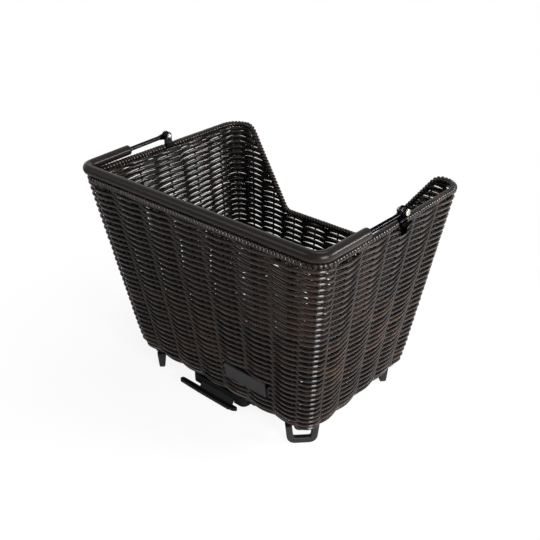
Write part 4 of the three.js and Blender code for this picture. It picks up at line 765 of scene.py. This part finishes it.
def foot_loop_rings():
    """Section of the loop carried round it: at each of the stations from the left leg's top, down, along the
    bottom bar and up the right leg, a rounded box of the bar's depth and the thickness at that height."""
    half = lambda z: (FOOT_LOW_WIDE + (FOOT_TOP_WIDE - FOOT_LOW_WIDE) * z / FLOOR_UNDER) / 2
    top, depth = FLOOR_UNDER + FOOT_LAP, FOOT_BAR / 2
    leg, bar = half(top) - depth, half(depth) - depth
    side = [(-leg, 0.0, top), (-bar, 0.0, depth), (bar, 0.0, depth), (leg, 0.0, top)]
    line = bent_line(side, [0, FOOT_BEND, FOOT_BEND, 0], FOOT_STEP)
    _, inward = across_line(line, (0, 1, 0))
    thick = (FOOT_LOW_THICK + (FOOT_TOP_THICK - FOOT_LOW_THICK) * np.clip(line[:, 2] / FLOOR_UNDER, 0, 1)) / 2
    box = squared_round(28, 0.35)
    return (line[:, None] + box[:, :1] * depth * inward[:, None]
            + box[:, 1:] * thick[:, None, None] * np.array([0, 1, 0]))


def foot_flange_rings():
    """Flat rounded tongue under the floor, from the loop inwards to the screw."""
    spread = squared_round(40, 0.5) * FLANGE_HALF - [0, FLANGE_BACK]
    scale = np.array([0.96, 1.0, 1.0, 0.97])
    height = FLOOR_UNDER - CONTACT - np.array([FLANGE_THICK, FLANGE_THICK - 0.4, 0.4, 0.0])
    flat = spread[None] * scale[:, None, None]
    return np.concatenate([flat, np.broadcast_to(height[:, None, None], (*flat.shape[:2], 1))], -1)


def socket_screw(tip, head, middle):
    """Upright screw from its tip to a domed head, with a six-sided hollow in the head's top."""
    radii = [2.0, 2.5, 2.5, 4.5, 4.75, 4.6, 4.0, 2.9, 1.9, 1.7, 1.6]
    places = [tip, tip + 0.5, *(head + np.array([0.0, 0.0, 0.3, 1.2, 2.0, 2.6, 2.75, 2.5, 1.4]))]
    return turned(radii, places, middle, (0, 0, 1), [0, 0, 0, 0, 0, 0, 0, 0, 1, 1, 1])


for name, sx, sy in (("front_left", -1, -1), ("front_right", 1, -1), ("back_left", -1, 1),
                     ("back_right", 1, 1)):
    turn = np.arctan2(sy, sx) - np.pi / 2
    spin = np.array([[np.cos(turn), np.sin(turn), 0], [-np.sin(turn), np.cos(turn), 0], [0, 0, 1]])
    at = np.array([sx * FOOT_AT[0], sy * FOOT_AT[1], 0])
    foot_shells = [shell(foot_loop_rings() @ spin + at), shell(foot_flange_rings() @ spin + at)]
    make_piece(f"foot_loop_{name}", foot_shells, black_nylon, "basket", [f"foot_{name}"],
               sharp=45.0)
    middle = (sx * (FOOT_AT[0] - FOOT_SCREW_IN), sy * (FOOT_AT[1] - FOOT_SCREW_IN), 0)
    washer = flat_washer(FOOT_WASHER, 0.4, FLOOR_OVER + CONTACT, middle, (0, 0, 1))
    zinc_piece(f"foot_washer_flat_{name}", washer, f"foot_washer_{name}", loop=True)
    head = FLOOR_OVER + CONTACT + WASHER_THICK + CONTACT
    screw = socket_screw(FLOOR_UNDER - CONTACT - FLANGE_THICK, head, middle)
    zinc_piece(f"foot_screw_domed_{name}", screw, f"foot_screw_{name}")


# The badge plate: a small moulded plate low on the front wall, dark grey and bare, let into a window in the
# weave so that it lies on the stakes. Two rivets from a strip inside hold it. It leans with the wall.

BADGE_AT, BADGE_SIZE, BADGE_CORNER = (62.7, 82.3), (71.0, 24.0), 2.2
BADGE_FACE, BADGE_THICK, BADGE_POINTS = 4.8, 3.0, 48
RIVET_ASIDE = 16.0

badge_grey = mottled_material("dark grey plate", "161416", "1f1d1f", (0.4, 0.55), bump=0.03, cloud=40.0,
                              level=0.2)


def plate_rings(levels, insets):
    """Rounded rectangle carried outwards: at each level its sides and its corners' radius are drawn in by an
    inset."""
    angle = (2 * np.arange(BADGE_POINTS) + 1) * np.pi / BADGE_POINTS
    rings = []
    for level, inset in zip(levels, insets):
        r = max(BADGE_CORNER - inset, 0.3)
        x = np.sign(np.cos(angle)) * (BADGE_SIZE[0] / 2 - inset - r) + r * np.cos(angle)
        z = np.sign(np.sin(angle)) * (BADGE_SIZE[1] / 2 - inset - r) + r * np.sin(angle)
        rings.append(np.stack([x, np.full_like(x, -level), z], -1))
    return np.array(rings)


def on_front_wall(points):
    """Places points given on an upright plate onto the leaning front wall at the badge."""
    lean = np.arctan((RIM_WIDTH - BASE_WIDTH) / 2 / (RIM_HEIGHT - FLOOR_HEIGHT))
    tilt = np.array([[1, 0, 0], [0, np.cos(lean), np.sin(lean)], [0, -np.sin(lean), np.cos(lean)]])
    return points @ tilt + [BADGE_AT[0], -outline_sizes(BADGE_AT[1], 0.0)[1], BADGE_AT[1]]


plate = plate_rings(BADGE_FACE - np.array([BADGE_THICK, 2.7, 0.5, 0.0, 0.0, 0.35, 0.35]),
                    [0.4, 0.0, 0.0, 0.5, 1.5, 1.9, 5.0])
make_piece("badge_plate_bare", [shell(on_front_wall(plate))], badge_grey, "basket", ["badge_plate"],
           sharp=35.0)
dress_node("badge_backing", black_nylon, 0.3)
for side, sx in (("left", -1), ("right", 1)):
    rivet = turned([1.5, 1.5, 2.9, 2.9, 2.4, 1.2], [-2.9, 3.2, 3.2, 3.6, 4.5, 4.9], (sx * RIVET_ASIDE, 0, 0),
                   (0, 1, 0))
    zinc_piece(f"badge_rivet_set_{side}", on_front_wall(rivet), f"badge_rivet_{side}", sharp=35.0)


# The adapter: a black nylon housing with two hooked rails, drawn up under the floor by four bolts through a
# steel plate inside. Its release is one moulding, a cross handle on a flat stem, that pulls out to the front
# against a spring. A cover with four screws holds it up.

ADAPTER_BOLTS = [(-43.0, -85.0), (33.0, -85.0), (-43.0, 25.0), (33.0, 25.0)]
NUT_LOW, CLAMP_THICK = FLOOR_UNDER - 14.0, 2.0
SPRING_AT, SPRING_FRONT, SPRING_LONG, RELEASE_TRAVEL = (-5.0, 19.95), -58.4, 24.0, 8.0
SPRING_TURNS, SPRING_RADIUS, SPRING_WIRE, SPRING_POINTS = 8, 1.5, 0.35, 24

# The adapter is the feet's black nylon with darker shades: painted shade for the shade it sits in under the
# floor.
adapter_nylon_painted_shade = mottled_material("adapter nylon with painted shade", "060606", "0c0b0c", (0.36, 0.52), bump=0.05,
                                 cloud=22.0, grain=1500.0, level=0.1)

dress_node("adapter_body", adapter_nylon_painted_shade, 0.5)
dress_node("clamp_plate", coated_wire, 0.4)
dress_node("slider_cover", adapter_nylon_painted_shade, 0.3)
dress_node("release_handle", adapter_nylon_painted_shade, 0.7)
spring_turn = np.linspace(0, 2 * np.pi * SPRING_TURNS, SPRING_TURNS * SPRING_POINTS + 1)
coil = np.stack([SPRING_AT[0] + SPRING_RADIUS * np.cos(spring_turn),
                 SPRING_FRONT + SPRING_WIRE + (SPRING_LONG - 2 * SPRING_WIRE) * spring_turn / spring_turn[-1],
                 SPRING_AT[1] + SPRING_RADIUS * np.sin(spring_turn)], -1)
spring_rings = tube_rings(coil, (0, 1, 0), SPRING_WIRE, SPRING_WIRE)
spring = zinc_piece("latch_spring_wound", spring_rings, "latch_spring", sharp=40.0)
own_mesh(spring)
for i, (x, y) in enumerate(ADAPTER_BOLTS, 1):
    head = FLOOR_OVER + CONTACT + CLAMP_THICK + CONTACT
    bolt = socket_screw(NUT_LOW + CONTACT, head, (x, y, 0))
    zinc_piece(f"adapter_bolt_domed_{i}", bolt, f"adapter_bolt_{i}")
    nut = turned([2.8, 3.2, 3.8, 4.0, 4.0, 3.8, 3.2, 2.8], [0.3, 0.0, 0.0, 0.3, 3.7, 4.0, 4.0, 3.7],
                 (x, y, NUT_LOW), (0, 0, 1), [0, 0, 0.9, 1, 1, 0.9, 0, 0])
    zinc_piece(f"adapter_nut_hex_{i}", nut, f"adapter_nut_{i}", loop=True)
for i in range(1, 5):
    dress_node(f"cover_screw_{i}", bright_zinc)


# The studio: a pale floor, four soft lamps, and a surround that is white to the camera and in reflections and
# dim to all else. The camera stands where a fit to the photographed rim, walls and feet put it.

FLOOR_REACH, FADE_FROM, FADE_TO = 6.0, 0.2, 0.6
LAMP_AIM = (0, 0, 0.15)
AZIMUTH, ELEVATION, ROLL = 0.7201, 0.5109, -0.0080
DISTANCE, ASIDE, RAISE, FIT_FLOOR = 1.13355, 0.00084, 0.12476, 0.028
FOCAL_PIXELS, PHOTO_PIXELS, SENSOR = 759.31, 540, 36.0

floor_mesh = bpy.data.meshes.new("floor")
floor_mesh.from_pydata([(-FLOOR_REACH, -FLOOR_REACH, 0), (FLOOR_REACH, -FLOOR_REACH, 0),
                        (FLOOR_REACH, FLOOR_REACH, 0), (-FLOOR_REACH, FLOOR_REACH, 0)], [], [(0, 1, 2, 3)])
floor = bpy.data.objects.new("floor", floor_mesh)
bpy.context.scene.collection.objects.link(floor)

pale = bpy.data.materials.new("pale floor")
pale.use_nodes = True
nodes, links = pale.node_tree.nodes, pale.node_tree.links
pale_shader = nodes["Principled BSDF"]
pale_shader.inputs["Base Color"].default_value = (0.93, 0.93, 0.93, 1)
pale_shader.inputs["Roughness"].default_value = 0.9
pale_shader.inputs["Specular IOR Level"].default_value = 0.1
spot = nodes.new("ShaderNodeTexCoord")
reach = nodes.new("ShaderNodeVectorMath")
reach.operation = "LENGTH"
links.new(spot.outputs["Object"], reach.inputs[0])
fade = nodes.new("ShaderNodeMapRange")
fade.interpolation_type = "SMOOTHSTEP"
fade.inputs["From Min"].default_value, fade.inputs["From Max"].default_value = FADE_FROM, FADE_TO
fade.inputs["To Min"].default_value, fade.inputs["To Max"].default_value = 0.88, 1.0
links.new(reach.outputs["Value"], fade.inputs["Value"])
sight = nodes.new("ShaderNodeLightPath")
white = nodes.new("ShaderNodeMath")
white.operation = "MULTIPLY"
links.new(fade.outputs["Result"], white.inputs[0])
links.new(sight.outputs["Is Camera Ray"], white.inputs[1])
glow = nodes.new("ShaderNodeEmission")
blend = nodes.new("ShaderNodeMixShader")
links.new(white.outputs["Value"], blend.inputs["Fac"])
links.new(pale_shader.outputs["BSDF"], blend.inputs[1])
links.new(glow.outputs["Emission"], blend.inputs[2])
links.new(blend.outputs["Shader"], nodes["Material Output"].inputs["Surface"])
floor_mesh.materials.append(pale)

world = bpy.data.worlds.new("studio")
bpy.context.scene.world = world
world.use_nodes = True
nodes, links = world.node_tree.nodes, world.node_tree.links
rays = nodes.new("ShaderNodeLightPath")
seen = rays.outputs["Is Camera Ray"]
for kind in ("Is Glossy Ray", "Is Transmission Ray"):
    either = nodes.new("ShaderNodeMath")
    either.operation = "MAXIMUM"
    links.new(seen, either.inputs[0])
    links.new(rays.outputs[kind], either.inputs[1])
    seen = either.outputs["Value"]
strength = nodes.new("ShaderNodeMapRange")
strength.inputs["To Min"].default_value, strength.inputs["To Max"].default_value = 0.12, 1.0
links.new(seen, strength.inputs["Value"])
links.new(strength.outputs["Result"], nodes["Background"].inputs["Strength"])
nodes["Background"].inputs["Color"].default_value = (1, 1, 1, 1)


def lamp(name, place, wide, tall, watts):
    """Rectangular soft lamp that faces the middle of the basket, its width level."""
    light = bpy.data.lights.new(name, "AREA")
    light.shape, light.size, light.size_y, light.energy = "RECTANGLE", wide, tall, watts
    thing = bpy.data.objects.new(name, light)
    away = np.array(place) - LAMP_AIM
    away /= np.linalg.norm(away)
    right = np.cross((0, 0, 1), away)
    right /= np.linalg.norm(right)
    turn = np.column_stack([right, np.cross(away, right), away])
    thing.matrix_world = Matrix.Translation(place) @ Matrix(turn.tolist()).to_4x4()
    bpy.context.scene.collection.objects.link(thing)


lamp("key", (1.55, 0.95, 0.75), 0.9, 0.12, 38)
lamp("corner", (1.5, -0.55, 0.5), 0.65, 0.75, 44)
lamp("fill", (-1.2, -1.7, 1.4), 1.0, 1.0, 12)
lamp("top", (0.1, 0.4, 2.2), 0.8, 0.8, 16)

sa, ca, se, ce = np.sin(AZIMUTH), np.cos(AZIMUTH), np.sin(ELEVATION), np.cos(ELEVATION)
back = np.array([sa * ce, -ca * ce, se])
right = np.array([ca, sa, 0.0])
up = np.cross(back, right)
place = back * DISTANCE + right * ASIDE + up * RAISE + [0, 0, FIT_FLOOR]
turned_right = np.cos(ROLL) * right + np.sin(ROLL) * up
turned_up = -np.sin(ROLL) * right + np.cos(ROLL) * up
camera = bpy.data.cameras.new("camera")
camera.sensor_width = SENSOR
camera.lens = FOCAL_PIXELS / PHOTO_PIXELS * SENSOR
viewer = bpy.data.objects.new("camera", camera)
viewer.matrix_world = (Matrix.Translation(place)
                       @ Matrix(np.column_stack([turned_right, turned_up, back]).tolist()).to_4x4())
bpy.context.scene.collection.objects.link(viewer)
bpy.context.scene.camera = viewer
bpy.context.scene.view_settings.view_transform = "Standard"
